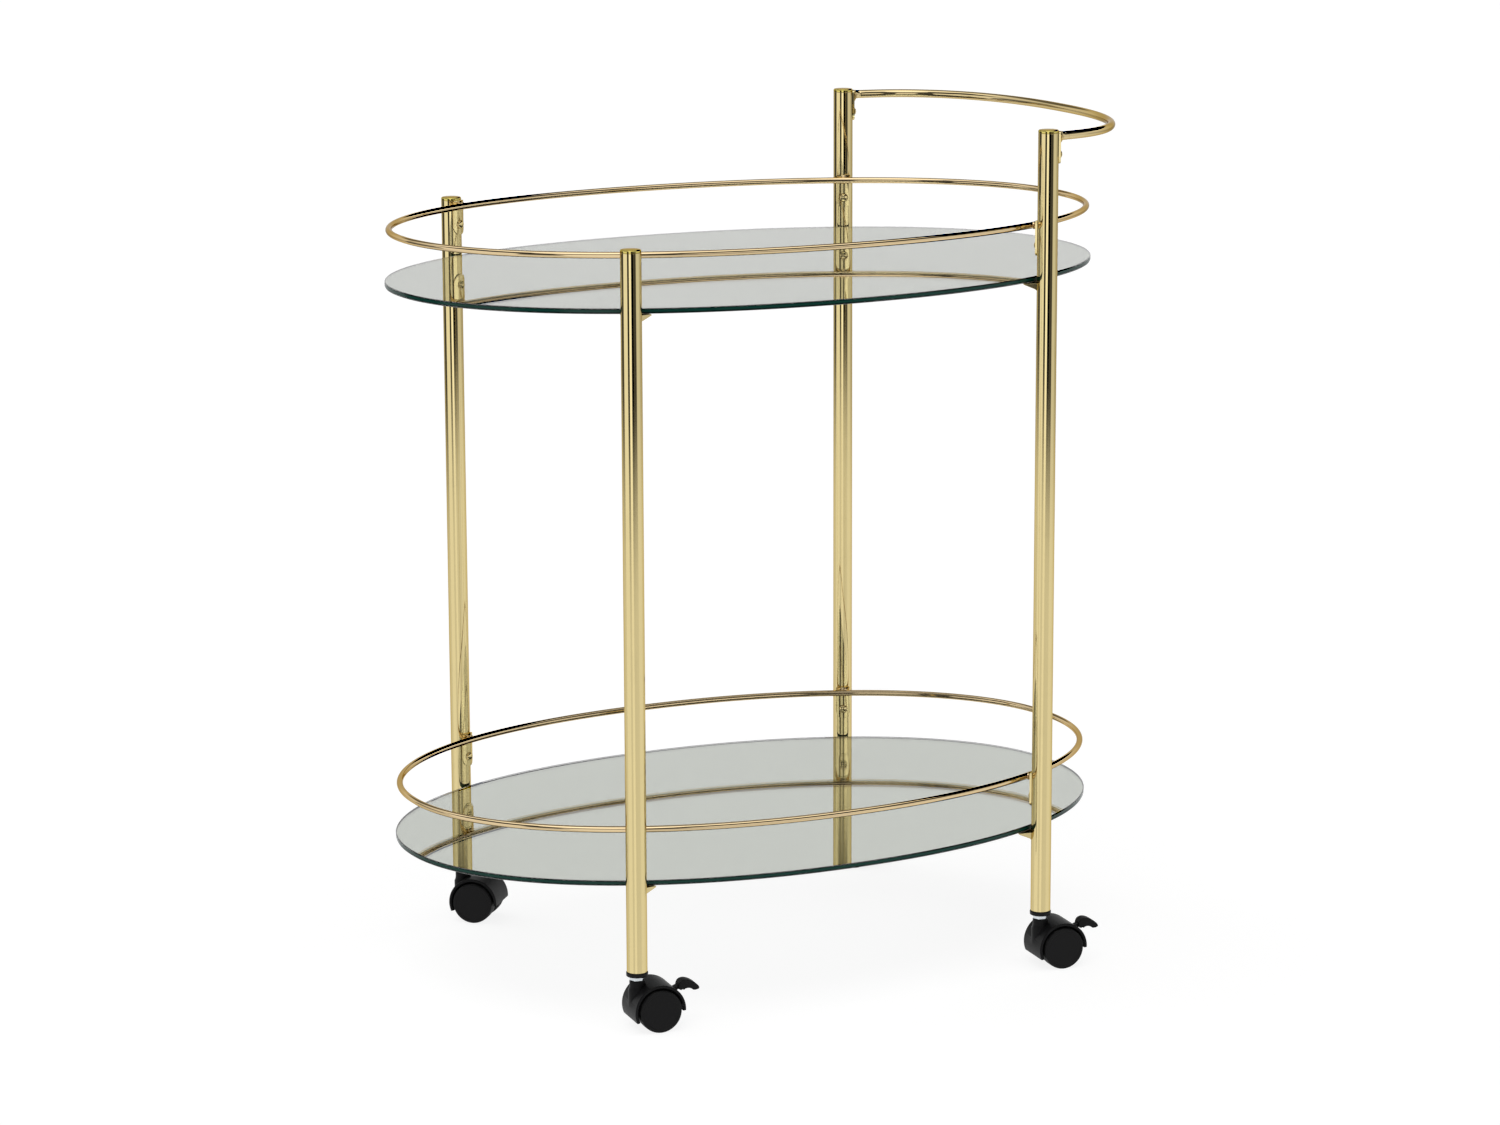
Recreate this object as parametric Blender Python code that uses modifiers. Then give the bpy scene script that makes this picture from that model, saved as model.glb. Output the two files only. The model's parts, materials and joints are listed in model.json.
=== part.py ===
"""Oval bar cart on wheels.

Two oval mirror shelves stand between four round posts, each shelf inside a gallery rail of bent
wire. The two posts on the right are taller and carry a curved push handle. Under every post is a
twin-wheel caster that swivels, and the two near casters have a brake lever. Lengths are in metres,
+X runs along the cart towards the handle, +Y away from the near side, and +Z up from the floor.
"""

import math

import bmesh
import bpy
from mathutils import Matrix, Vector

# Clearances between pieces that touch.
TOUCH_GAP = 0.0003

# Mirror shelves.
SHELF_LENGTH = 0.700
SHELF_WIDTH = 0.460
SHELF_SQUARENESS = 2.11
SHELF_THICKNESS = 0.005
LOWER_SHELF_TOP = 0.137
UPPER_SHELF_TOP = 0.663
OVAL_POINTS = 60

# Posts, with their caps and end plugs.
POST_SPACING = 0.4252
POST_RADIUS = 0.0095
POST_WALL = 0.0012
POST_TO_SHELF = 0.0028
SHORT_POST_TOP = 0.718
TALL_POST_TOP = 0.800
CAP_RIM = 0.003
CAP_ROUND = 0.0012
CAP_INSERT = 0.008
COLLAR_OVERHANG = 0.0006
COLLAR_HEIGHT = 0.004
PLUG_INSERT = 0.018
ROUND_STEPS = 20

# Gallery rails and push handle.
RAIL_INSET = 0.0047
RAIL_ABOVE_SHELF = 0.047
RAIL_WIRE_RADIUS = 0.003
HANDLE_WIRE_RADIUS = 0.004
HANDLE_BELOW_TOP = 0.008
HANDLE_REACH = 0.1334
HANDLE_SQUARENESS = 2.3
HANDLE_POINTS = 33
FLARE_RADIUS = 0.0056
FLARE_LENGTH = 0.004
FLARE_UNDERCUT = 0.0001

# Tabs that hold the rails and the handle to the posts.
TAB_THICKNESS = 0.0018
TAB_WIDTH = 0.016
RAIL_TAB_RISE = 0.005
RAIL_TAB_DROP = 0.028
RAIL_SCREW_DROP = 0.018
HANDLE_TAB_RISE = 0.0043
HANDLE_TAB_DROP = 0.0255
HANDLE_SCREW_DROP = 0.0155
NECK_RADIUS = 0.0026
TAB_STEPS = 36

# Dome-head screws.
SCREW_HEAD_RADIUS = 0.0043
SCREW_HEAD_HEIGHT = 0.0024
SCREW_SHANK_RADIUS = 0.002
SCREW_REACH = 0.002
SCREW_STEPS = 12

# Shelf brackets, wedges that fan out from the posts under the shelves.
BRACKET_REACH = 0.0097
BRACKET_DEPTH = 0.006
BRACKET_LIP = 0.0012
BRACKET_START = math.radians(9)
BRACKET_SPREAD = math.radians(83)

# Casters.
WHEEL_RADIUS = 0.020
WHEEL_WIDTH = 0.0148
WHEEL_ROUND = 0.0016
WHEEL_SIDE_GAP = 0.0007
WHEEL_TO_HOOD = 0.0016
HOOD_WALL = 0.0029
HOOD_WEB = 0.011
HOOD_SHORT_OF_WHEEL = 0.0015
HOOD_FRONT_DROP = 0.0095
HOOD_BACK_DROP = 0.001
HOOD_STEPS = 36
BOSS_STEPS = 16
WHEEL_STEPS = 28
STEM_STEPS = 12
CASTER_TRAIL = 0.016
BOSS_RADIUS = 0.00725
BOSS_STAND = 0.0021
BORE_DEPTH = 0.016
STEM_RADIUS = 0.004
NUT_RADIUS = 0.00725
NUT_HEIGHT = 0.0035
AXLE_RADIUS = 0.002
AXLE_INTO_WHEEL = 0.0098

# Brake levers. The pivot is inside the hood's rim at an angle above the axle. The paddle's outline and
# its neck are seen from the caster's side, and measured from the pivot.
BRAKE_PIVOT_INSET = 0.0068
BRAKE_PIVOT_ANGLE = math.radians(42.7)
BRAKE_HUB_RADIUS = 0.0032
BRAKE_ARM_WIDTH = 0.006
BRAKE_ARM_THICKNESS = 0.0036
BRAKE_NECK = (0.0100, 0.0042)
BRAKE_PADDLE_WIDTH = 0.010
BRAKE_SIDE_GAP = 0.0004
BRAKE_PIN_RADIUS = 0.0012
BRAKE_PIN_STEPS = 12
BRAKE_SLOT_LOW = math.radians(-6)
BRAKE_SLOT_HIGH = math.radians(52)
BRAKE_PADDLE = (
    (0.0084, 0.0025), (0.0091, 0.0069), (0.0114, 0.0098), (0.0150, 0.0111), (0.0192, 0.0105),
    (0.0234, 0.0085), (0.0270, 0.0058), (0.0295, 0.0029), (0.0292, 0.0011), (0.0270, 0.0003),
    (0.0240, 0.0003), (0.0220, 0.0017), (0.0192, 0.0026), (0.0162, 0.0023), (0.0148, 0.0013),
    (0.0134, 0.0019), (0.0112, 0.0013),
)

# Which way each caster trails, measured from +X, and which casters have a brake.
CASTER_HEADINGS = {"near_left": -6.0, "near_right": -6.0, "far_left": -41.4, "far_right": -41.4}
BRAKED = ("near_left", "near_right")
CORNERS = {"near_left": (-1, -1), "near_right": (1, -1), "far_left": (-1, 1), "far_right": (1, 1)}

# Sizes that follow from the ones above.
HOOD_RADIUS = WHEEL_RADIUS + WHEEL_TO_HOOD + HOOD_WALL
BOSS_TOP = WHEEL_RADIUS + HOOD_RADIUS + BOSS_STAND
NUT_BOTTOM = BOSS_TOP + TOUCH_GAP
COLLAR_BOTTOM = NUT_BOTTOM + NUT_HEIGHT + TOUCH_GAP
COLLAR_TOP = COLLAR_BOTTOM + COLLAR_HEIGHT
TUBE_BOTTOM = COLLAR_TOP + TOUCH_GAP
TUBE_BORE = POST_RADIUS - POST_WALL
TAB_INNER = POST_RADIUS + TOUCH_GAP
TAB_OUTER = TAB_INNER + TAB_THICKNESS
WHEEL_INNER_FACE = HOOD_WEB / 2 + WHEEL_SIDE_GAP
BRAKE_PIVOT = (
    (HOOD_RADIUS - BRAKE_PIVOT_INSET) * math.cos(BRAKE_PIVOT_ANGLE),
    (HOOD_RADIUS - BRAKE_PIVOT_INSET) * math.sin(BRAKE_PIVOT_ANGLE),
)


def start_scene():
    """Clears the scene and returns the collections for the parts and for the cutters."""
    for obj in list(bpy.data.objects):
        bpy.data.objects.remove(obj)
    made = []
    for name in ("oval_bar_cart", "cutters"):
        collection = bpy.data.collections.new(name)
        bpy.context.scene.collection.children.link(collection)
        made.append(collection)
    return made


PARTS, CUTTERS = start_scene()


def material(name, colour, roughness, metallic):
    """A plain material of one colour."""
    made = bpy.data.materials.new(name)
    made.use_nodes = True
    shader = made.node_tree.nodes["Principled BSDF"]
    shader.inputs["Base Color"].default_value = (*colour, 1.0)
    shader.inputs["Roughness"].default_value = roughness
    shader.inputs["Metallic"].default_value = metallic
    return made


POST_BRASS = material("post_brass", (0.83, 0.69, 0.40), 0.18, 1.0)
RAIL_BRASS = material("rail_brass", (0.80, 0.62, 0.40), 0.15, 1.0)
SCREW_BRASS = material("screw_brass", (0.78, 0.66, 0.36), 0.2, 1.0)
BRACKET_BRASS = material("bracket_brass", (0.70, 0.57, 0.33), 0.3, 1.0)
MIRROR_GLASS = material("mirror_glass", (0.78, 0.80, 0.77), 0.03, 1.0)
PLUG_PLASTIC = material("plug_plastic", (0.02, 0.02, 0.02), 0.5, 0.0)
STEM_ZINC = material("stem_zinc", (0.72, 0.74, 0.77), 0.25, 1.0)
HOOD_PLASTIC = material("hood_plastic", (0.014, 0.014, 0.015), 0.45, 0.0)
WHEEL_PLASTIC = material("wheel_plastic", (0.011, 0.011, 0.012), 0.5, 0.0)
BRAKE_PLASTIC = material("brake_plastic", (0.016, 0.016, 0.017), 0.5, 0.0)


# ---------------------------------------------------------------- modelling helpers


def place(name, data, collection, matrix=None, parent=None):
    """A new object in a collection, at a place given in its parent's frame."""
    obj = bpy.data.objects.new(name, data)
    collection.objects.link(obj)
    if parent is not None:
        obj.parent = parent
    if matrix is not None:
        obj.matrix_local = matrix
    return obj


def part(name, data, finish, matrix=None, parent=None):
    """A piece of the cart, with its material."""
    obj = place(name, data, PARTS, matrix, parent)
    data.materials.clear()
    data.materials.append(finish)
    return obj


def helper(name, data, matrix=None):
    """A shape that only cuts or joins other shapes."""
    obj = place(name, data, CUTTERS, matrix)
    obj.hide_render = True
    obj.display_type = "WIRE"
    return obj


def baked(obj):
    """The object's evaluated mesh in world space, with its loose caps welded. The object goes."""
    bpy.context.view_layer.update()
    graph = bpy.context.evaluated_depsgraph_get()
    mesh = bpy.data.meshes.new_from_object(obj.evaluated_get(graph))
    mesh.transform(obj.matrix_world)
    shape = bmesh.new()
    shape.from_mesh(mesh)
    bmesh.ops.remove_doubles(shape, verts=shape.verts, dist=1e-6)
    shape.to_mesh(mesh)
    shape.free()
    bpy.data.objects.remove(obj)
    return mesh


def boolean(obj, operation, other):
    """Adds one exact Boolean modifier."""
    modifier = obj.modifiers.new(other.name, "BOOLEAN")
    modifier.operation = operation
    modifier.solver = "EXACT"
    modifier.object = other


def cylinder(name, radius, low, high, steps=ROUND_STEPS, top_radius=None):
    """A mesh cylinder, or a cone, that stands on Z from low to high."""
    shape = bmesh.new()
    bmesh.ops.create_cone(
        shape,
        cap_ends=True,
        segments=steps,
        radius1=radius,
        radius2=radius if top_radius is None else top_radius,
        depth=high - low,
        matrix=Matrix.Translation((0, 0, (low + high) / 2)),
    )
    mesh = bpy.data.meshes.new(name)
    shape.to_mesh(mesh)
    shape.free()
    return mesh


def box(name, low, high):
    """A mesh box between two corners."""
    shape = bmesh.new()
    size = Vector(high) - Vector(low)
    middle = (Vector(high) + Vector(low)) / 2
    bmesh.ops.create_cube(shape, size=1, matrix=Matrix.Translation(middle) @ Matrix.Diagonal((*size, 1)))
    mesh = bpy.data.meshes.new(name)
    shape.to_mesh(mesh)
    shape.free()
    return mesh


def turned(name, profile, closed=False, steps=ROUND_STEPS):
    """A profile of (radius, height) points, top to bottom down its outer side, turned round Z."""
    shape = bmesh.new()
    points = [shape.verts.new((radius, 0, height)) for radius, height in profile]
    for first, second in zip(points, points[1:]):
        shape.edges.new((first, second))
    if closed:
        shape.edges.new((points[-1], points[0]))
    mesh = bpy.data.meshes.new(name)
    shape.to_mesh(mesh)
    shape.free()
    obj = helper(name, mesh)
    screw = obj.modifiers.new("turn", "SCREW")
    screw.steps = screw.render_steps = steps
    screw.use_merge_vertices = True
    screw.merge_threshold = 1e-5
    screw.use_smooth_shade = False
    made = baked(obj)
    shade(made)
    return made


def shade(mesh):
    """Smooth shading that keeps the real edges sharp."""
    mesh.shade_smooth()
    mesh.set_sharp_from_angle(angle=math.radians(35))


def flat_outline(name, points, thickness):
    """A filled outline in the XY plane, its thickness centred on Z."""
    curve = bpy.data.curves.new(name, "CURVE")
    curve.dimensions = "2D"
    curve.fill_mode = "BOTH"
    curve.extrude = thickness / 2
    spline = curve.splines.new("POLY")
    spline.points.add(len(points) - 1)
    for vertex, (x, y) in zip(spline.points, points):
        vertex.co = (x, y, 0, 1)
    spline.use_cyclic_u = True
    return baked(helper(name, curve))


def wire(name, points, radius, ring):
    """A round wire along its points, closed to a ring or with filled ends."""
    curve = bpy.data.curves.new(name, "CURVE")
    curve.dimensions = "3D"
    curve.bevel_depth = radius
    curve.bevel_resolution = 2
    curve.use_fill_caps = not ring
    spline = curve.splines.new("POLY")
    spline.points.add(len(points) - 1)
    for vertex, point in zip(spline.points, points):
        vertex.co = (*point, 1)
    spline.use_cyclic_u = ring
    return baked(helper(name, curve))


def oval(half_length, half_width, squareness, angle):
    """The point and the outward normal of an oval at one angle."""
    along, across = math.cos(angle), math.sin(angle)
    power = 2 / squareness
    point = Vector((
        math.copysign(abs(along) ** power, along) * half_length,
        math.copysign(abs(across) ** power, across) * half_width,
        0,
    ))
    normal = Vector((
        math.copysign(abs(along) ** (2 - power), along) / half_length,
        math.copysign(abs(across) ** (2 - power), across) / half_width,
        0,
    ))
    return point, normal.normalized()


def shelf_offset(angle, distance):
    """A point at a distance outside the shelf's rim, and the rim's outward normal there."""
    point, normal = oval(SHELF_LENGTH / 2, SHELF_WIDTH / 2, SHELF_SQUARENESS, angle)
    return point + normal * distance, normal


def post_station():
    """Where a post stands clear of the rim in the +X +Y quarter, and the rim's normal there."""
    low, high = 0.0, math.pi / 2
    for _ in range(60):
        middle = (low + high) / 2
        point, _ = shelf_offset(middle, POST_RADIUS + POST_TO_SHELF)
        if point.x > POST_SPACING / 2:
            low = middle
        else:
            high = middle
    return shelf_offset(low, POST_RADIUS + POST_TO_SHELF)


STATION, STATION_NORMAL = post_station()


def post_axis(corner):
    """The floor point under a post."""
    side, end = CORNERS[corner]
    return Vector((side * STATION.x, end * STATION.y, 0))


def inward_angle(corner):
    """The direction from a post to the shelf, as an angle from +X."""
    side, end = CORNERS[corner]
    return math.atan2(-end * STATION_NORMAL.y, -side * STATION_NORMAL.x)


def post_top(corner):
    """The height of a post's cap."""
    return TALL_POST_TOP if CORNERS[corner][0] > 0 else SHORT_POST_TOP


def at_post(corner, height, angle):
    """A frame on a post's axis, its X axis turned to an angle."""
    point = post_axis(corner)
    return Matrix.Translation((point.x, point.y, height)) @ Matrix.Rotation(angle, 4, "Z")


def rail_heights():
    """The centre heights of the lower and the upper rail."""
    return {"lower": LOWER_SHELF_TOP + RAIL_ABOVE_SHELF, "upper": UPPER_SHELF_TOP + RAIL_ABOVE_SHELF}


# Turns a shape that stands on Z so that it points along X, or along Y.
Z_TO_X = Matrix.Rotation(math.pi / 2, 4, "Y")
Z_TO_Y = Matrix.Rotation(-math.pi / 2, 4, "X")


def screw_places(corner):
    """Each screw of a post: its name, the frame of its tab, and how far below the wire it sits."""
    places = []
    for level, height in rail_heights().items():
        frame = at_post(corner, height, inward_angle(corner))
        places.append((f"{level}_rail_screw_{corner}", frame, RAIL_SCREW_DROP))
    if CORNERS[corner][0] > 0:
        frame = at_post(corner, TALL_POST_TOP - HANDLE_BELOW_TOP, 0.0)
        places.append((f"handle_screw_{corner}", frame, HANDLE_SCREW_DROP))
    return places


# ---------------------------------------------------------------- shelves and brackets


def build_shelves():
    """The two oval mirror shelves."""
    angles = [2 * math.pi * index / OVAL_POINTS for index in range(OVAL_POINTS)]
    outline = [shelf_offset(angle, 0.0)[0].xy for angle in angles]
    for level, top in (("lower", LOWER_SHELF_TOP), ("upper", UPPER_SHELF_TOP)):
        mesh = flat_outline(f"{level}_shelf", outline, SHELF_THICKNESS)
        shade(mesh)
        part(f"{level}_shelf", mesh, MIRROR_GLASS, Matrix.Translation((0, 0, top - SHELF_THICKNESS / 2)))


def build_brackets(corner):
    """The wedge under each shelf at one post: part of a cone round the post, within a fan of angle."""
    side, end = CORNERS[corner]
    reach = POST_RADIUS + POST_TO_SHELF + BRACKET_REACH
    foot = POST_RADIUS + TOUCH_GAP
    cone = turned("bracket_cone", [
        (reach, 0),
        (reach, -BRACKET_LIP),
        (foot + BRACKET_LIP, -BRACKET_DEPTH),
        (foot, -BRACKET_DEPTH),
        (foot, 0),
    ], closed=True, steps=32)
    # The fan reaches past the cone, so that its straight ends do the cutting.
    arc = [BRACKET_START + BRACKET_SPREAD * index / 6 for index in range(7)]
    fan = [(0.0, 0.0)] + [(2 * reach * math.cos(angle), 2 * reach * math.sin(angle)) for angle in arc]
    fan = [(-side * x, -end * y) for x, y in fan]
    prism = helper("bracket_fan", flat_outline("bracket_fan", fan, 4 * BRACKET_DEPTH))
    blank = helper("bracket_blank", cone)
    boolean(blank, "INTERSECT", prism)
    wedge = baked(blank)
    bpy.data.objects.remove(prism)
    shade(wedge)
    for level, top in (("lower", LOWER_SHELF_TOP), ("upper", UPPER_SHELF_TOP)):
        height = top - SHELF_THICKNESS - TOUCH_GAP
        frame = Matrix.Translation(post_axis(corner) + Vector((0, 0, height)))
        part(f"{level}_bracket_{corner}", wedge.copy(), BRACKET_BRASS, frame)


# ---------------------------------------------------------------- posts


def build_post(corner):
    """The tube of one post, bored for its screws, with the cap and the end plug."""
    top = post_top(corner)
    tube_top = top - CAP_RIM - TOUCH_GAP
    tube = turned(f"post_{corner}", [
        (POST_RADIUS, tube_top),
        (POST_RADIUS, TUBE_BOTTOM),
        (TUBE_BORE, TUBE_BOTTOM),
        (TUBE_BORE, tube_top),
    ], closed=True)
    post = part(f"post_{corner}", tube, POST_BRASS, Matrix.Translation(post_axis(corner)))
    for name, frame, drop in screw_places(corner):
        radius = SCREW_SHANK_RADIUS + TOUCH_GAP
        hole = cylinder(f"hole_{name}", radius, POST_RADIUS / 2, 2 * POST_RADIUS, SCREW_STEPS)
        cutter = helper(f"hole_{name}", hole, frame @ Matrix.Translation((0, 0, -drop)) @ Z_TO_X)
        boolean(post, "DIFFERENCE", cutter)

    insert = TUBE_BORE - TOUCH_GAP
    rounding = [index * math.pi / 4 for index in range(3)]
    profile = [(0, CAP_RIM)]
    for turn in rounding:
        reach = POST_RADIUS - CAP_ROUND + CAP_ROUND * math.sin(turn)
        profile.append((reach, CAP_RIM - CAP_ROUND + CAP_ROUND * math.cos(turn)))
    profile += [(POST_RADIUS, 0), (insert, 0), (insert, -CAP_INSERT), (0, -CAP_INSERT)]
    cap = turned(f"cap_{corner}", profile)
    part(f"cap_{corner}", cap, POST_BRASS, Matrix.Translation(post_axis(corner) + Vector((0, 0, top - CAP_RIM))))

    collar = POST_RADIUS + COLLAR_OVERHANG
    bore = STEM_RADIUS + TOUCH_GAP
    plug = turned(f"plug_{corner}", [
        (bore, TUBE_BOTTOM + PLUG_INSERT),
        (insert, TUBE_BOTTOM + PLUG_INSERT),
        (insert, COLLAR_TOP),
        (collar, COLLAR_TOP),
        (collar, COLLAR_BOTTOM),
        (bore, COLLAR_BOTTOM),
    ], closed=True)
    part(f"plug_{corner}", plug, PLUG_PLASTIC, Matrix.Translation(post_axis(corner)))


# ---------------------------------------------------------------- rails, handle and screws


def tab_mesh(name, rise, drop, screw_drop, joint_radii, joint_reach):
    """A tab curved to the post, with its screw hole and the round joint between it and the wire.

    The post's axis is Z, the wire is at height 0, and the tab faces +X. The joint's two radii are
    those at the tab and at its far end, which is as far from the post's axis as the reach.
    """
    # The shell is longer than the tab, and turned half a step so that no edge meets the hole's.
    shell_mesh = turned(f"{name}_shell", [
        (TAB_OUTER, rise + TAB_THICKNESS),
        (TAB_OUTER, -drop - TAB_THICKNESS),
        (TAB_INNER, -drop - TAB_THICKNESS),
        (TAB_INNER, rise + TAB_THICKNESS),
    ], closed=True, steps=TAB_STEPS)
    shell = helper(f"{name}_shell", shell_mesh, Matrix.Rotation(math.pi / TAB_STEPS, 4, "Z"))
    half = TAB_WIDTH / 2
    round_end = [(half * math.cos(turn), -drop + half - half * math.sin(turn))
                 for turn in (index * math.pi / 8 for index in range(9))]
    corner_cut = half / 4
    outline = round_end + [
        (-half, rise - corner_cut),
        (-half + corner_cut, rise),
        (half - corner_cut, rise),
        (half, rise - corner_cut),
    ]
    # The outline stands up in the YZ plane and reaches along +X from the post's axis.
    upright = Matrix(((0, 0, 1, 0), (1, 0, 0, 0), (0, 1, 0, 0), (0, 0, 0, 1)))
    front = Matrix.Translation((TAB_OUTER, 0, 0)) @ upright
    prism = helper(f"{name}_prism", flat_outline(f"{name}_prism", outline, 2 * TAB_OUTER), front)
    hole_mesh = cylinder(f"{name}_hole", SCREW_SHANK_RADIUS + TOUCH_GAP, 0, 2 * TAB_OUTER, SCREW_STEPS)
    hole = helper(f"{name}_hole", hole_mesh, Matrix.Translation((0, 0, -screw_drop)) @ Z_TO_X)
    middle = (TAB_INNER + TAB_OUTER) / 2
    joint_mesh = cylinder(f"{name}_joint", joint_radii[0], middle, joint_reach, SCREW_STEPS, joint_radii[1])
    joint = helper(f"{name}_joint", joint_mesh, Z_TO_X)
    boolean(shell, "INTERSECT", prism)
    boolean(shell, "DIFFERENCE", hole)
    boolean(shell, "UNION", joint)
    mesh = baked(shell)
    for used in (prism, hole, joint):
        bpy.data.objects.remove(used)
    return mesh


def joined(name, base, pieces):
    """A mesh with other meshes welded to it at their frames."""
    body = helper(name, base)
    used = [helper(f"{name}_weld_{index}", mesh, frame) for index, (mesh, frame) in enumerate(pieces)]
    for piece in used:
        boolean(body, "UNION", piece)
    mesh = baked(body)
    for piece in used:
        bpy.data.objects.remove(piece)
    shade(mesh)
    return mesh


def build_rails():
    """The two gallery rails, each a ring of wire with a tab welded on at every post."""
    wire_from_post = POST_RADIUS + POST_TO_SHELF + RAIL_INSET
    necks = (NECK_RADIUS, NECK_RADIUS)
    tab = tab_mesh("rail_tab", RAIL_TAB_RISE, RAIL_TAB_DROP, RAIL_SCREW_DROP, necks, wire_from_post)
    angles = [2 * math.pi * index / OVAL_POINTS for index in range(OVAL_POINTS)]
    for level, height in rail_heights().items():
        points = [shelf_offset(angle, -RAIL_INSET)[0] for angle in angles]
        ring = wire(f"{level}_ring", points, RAIL_WIRE_RADIUS, ring=True)
        tabs = [(tab, at_post(corner, 0.0, inward_angle(corner))) for corner in CORNERS]
        mesh = joined(f"{level}_rail", ring, tabs)
        part(f"{level}_rail", mesh, RAIL_BRASS, Matrix.Translation((0, 0, height)))


def build_handle():
    """The push handle: a bow of wire from one tall post to the other, with a tab at each end."""
    flare = (FLARE_RADIUS, HANDLE_WIRE_RADIUS - FLARE_UNDERCUT)
    flare_reach = TAB_OUTER + FLARE_LENGTH
    tab = tab_mesh("handle_tab", HANDLE_TAB_RISE, HANDLE_TAB_DROP, HANDLE_SCREW_DROP, flare, flare_reach)
    # The wire ends inside its tabs, so its outermost angle is where the bow is one tab away.
    into_tab = (TAB_INNER + TAB_OUTER) / 2
    limit = math.acos((into_tab / HANDLE_REACH) ** (HANDLE_SQUARENESS / 2))
    points = []
    for index in range(HANDLE_POINTS):
        angle = limit * (2 * index / (HANDLE_POINTS - 1) - 1)
        point, _ = oval(HANDLE_REACH, STATION.y, HANDLE_SQUARENESS, angle)
        points.append(point + Vector((STATION.x, 0, 0)))
    # The ends run straight into the tabs on the posts' centre line.
    straight = into_tab + FLARE_LENGTH
    bend_start = straight + straight / 2
    points = [point for point in points if point.x - STATION.x > bend_start]
    for end in (-1, 1):
        run = [Vector((STATION.x + x, end * STATION.y, 0)) for x in (into_tab, straight)]
        points = run + points if end < 0 else points + run[::-1]
    bow = wire("handle_bow", points, HANDLE_WIRE_RADIUS, ring=False)
    tabs = [(tab, at_post(corner, 0.0, 0.0)) for corner in ("near_right", "far_right")]
    mesh = joined("push_handle", bow, tabs)
    part("push_handle", mesh, RAIL_BRASS, Matrix.Translation((0, 0, TALL_POST_TOP - HANDLE_BELOW_TOP)))


def screw_mesh():
    """A dome-head screw whose head's flat side is at height 0."""
    dome = []
    for index in range(4):
        turn = index * math.pi / 6
        dome.append((SCREW_HEAD_RADIUS * math.sin(turn), SCREW_HEAD_HEIGHT * math.cos(turn)))
    reach = TAB_OUTER + TOUCH_GAP - TUBE_BORE + SCREW_REACH
    shank = [(SCREW_SHANK_RADIUS, 0), (SCREW_SHANK_RADIUS, -reach), (0, -reach)]
    return turned("screw", dome + shank, steps=SCREW_STEPS)


def build_screws(corner):
    """The screws that hold the tabs to one post."""
    mesh = screw_mesh()
    for name, frame, drop in screw_places(corner):
        seat = Matrix.Translation((TAB_OUTER + TOUCH_GAP, 0, -drop))
        part(name, mesh.copy(), SCREW_BRASS, frame @ seat @ Z_TO_X)


# ---------------------------------------------------------------- casters


def hood_mesh(braked):
    """The caster's body in its own frame: the stem's axis is Z, the axle lies along Y behind it."""
    axle = Matrix.Translation((CASTER_TRAIL, 0, WHEEL_RADIUS))
    half_width = WHEEL_INNER_FACE + WHEEL_WIDTH - HOOD_SHORT_OF_WHEEL
    drum = cylinder("hood_drum", HOOD_RADIUS, -half_width, half_width, HOOD_STEPS)
    drum.transform(axle @ Z_TO_Y)
    hood = helper("hood", drum)
    boss = helper("hood_boss", cylinder("hood_boss", BOSS_RADIUS, WHEEL_RADIUS, BOSS_TOP, BOSS_STEPS))
    cutters = []
    for side in (-1, 1):
        near, far = sorted((side * HOOD_WEB / 2, side * 2 * half_width))
        cavity = cylinder("wheel_room", WHEEL_RADIUS + WHEEL_TO_HOOD, near, far, HOOD_STEPS)
        cutters.append(helper("wheel_room", cavity, axle @ Z_TO_Y))
    slope = math.atan2(HOOD_FRONT_DROP - HOOD_BACK_DROP, 2 * HOOD_RADIUS)
    middle_drop = (HOOD_FRONT_DROP + HOOD_BACK_DROP) / 2
    below = box("hood_opening", (-2 * HOOD_RADIUS, -2 * half_width, -2 * HOOD_RADIUS),
                (2 * HOOD_RADIUS, 2 * half_width, 0))
    opening = axle @ Matrix.Translation((0, 0, -middle_drop)) @ Matrix.Rotation(-slope, 4, "Y")
    cutters.append(helper("hood_opening", below, opening))
    bore = cylinder("stem_bore", STEM_RADIUS + TOUCH_GAP, BOSS_TOP - BORE_DEPTH, 2 * BOSS_TOP, STEM_STEPS)
    cutters.append(helper("stem_bore", bore))
    hole = cylinder("axle_hole", AXLE_RADIUS + TOUCH_GAP, -HOOD_WEB, HOOD_WEB, STEM_STEPS)
    cutters.append(helper("axle_hole", hole, axle @ Z_TO_Y))
    if braked:
        cutters += brake_room()
    boolean(hood, "UNION", boss)
    for cutter in cutters:
        boolean(hood, "DIFFERENCE", cutter)
    mesh = baked(hood)
    for used in cutters + [boss]:
        bpy.data.objects.remove(used)
    shade(mesh)
    return mesh


def pivot_frame():
    """The brake lever's pivot in the caster's frame."""
    return Matrix.Translation((CASTER_TRAIL + BRAKE_PIVOT[0], 0, WHEEL_RADIUS + BRAKE_PIVOT[1]))


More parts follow.
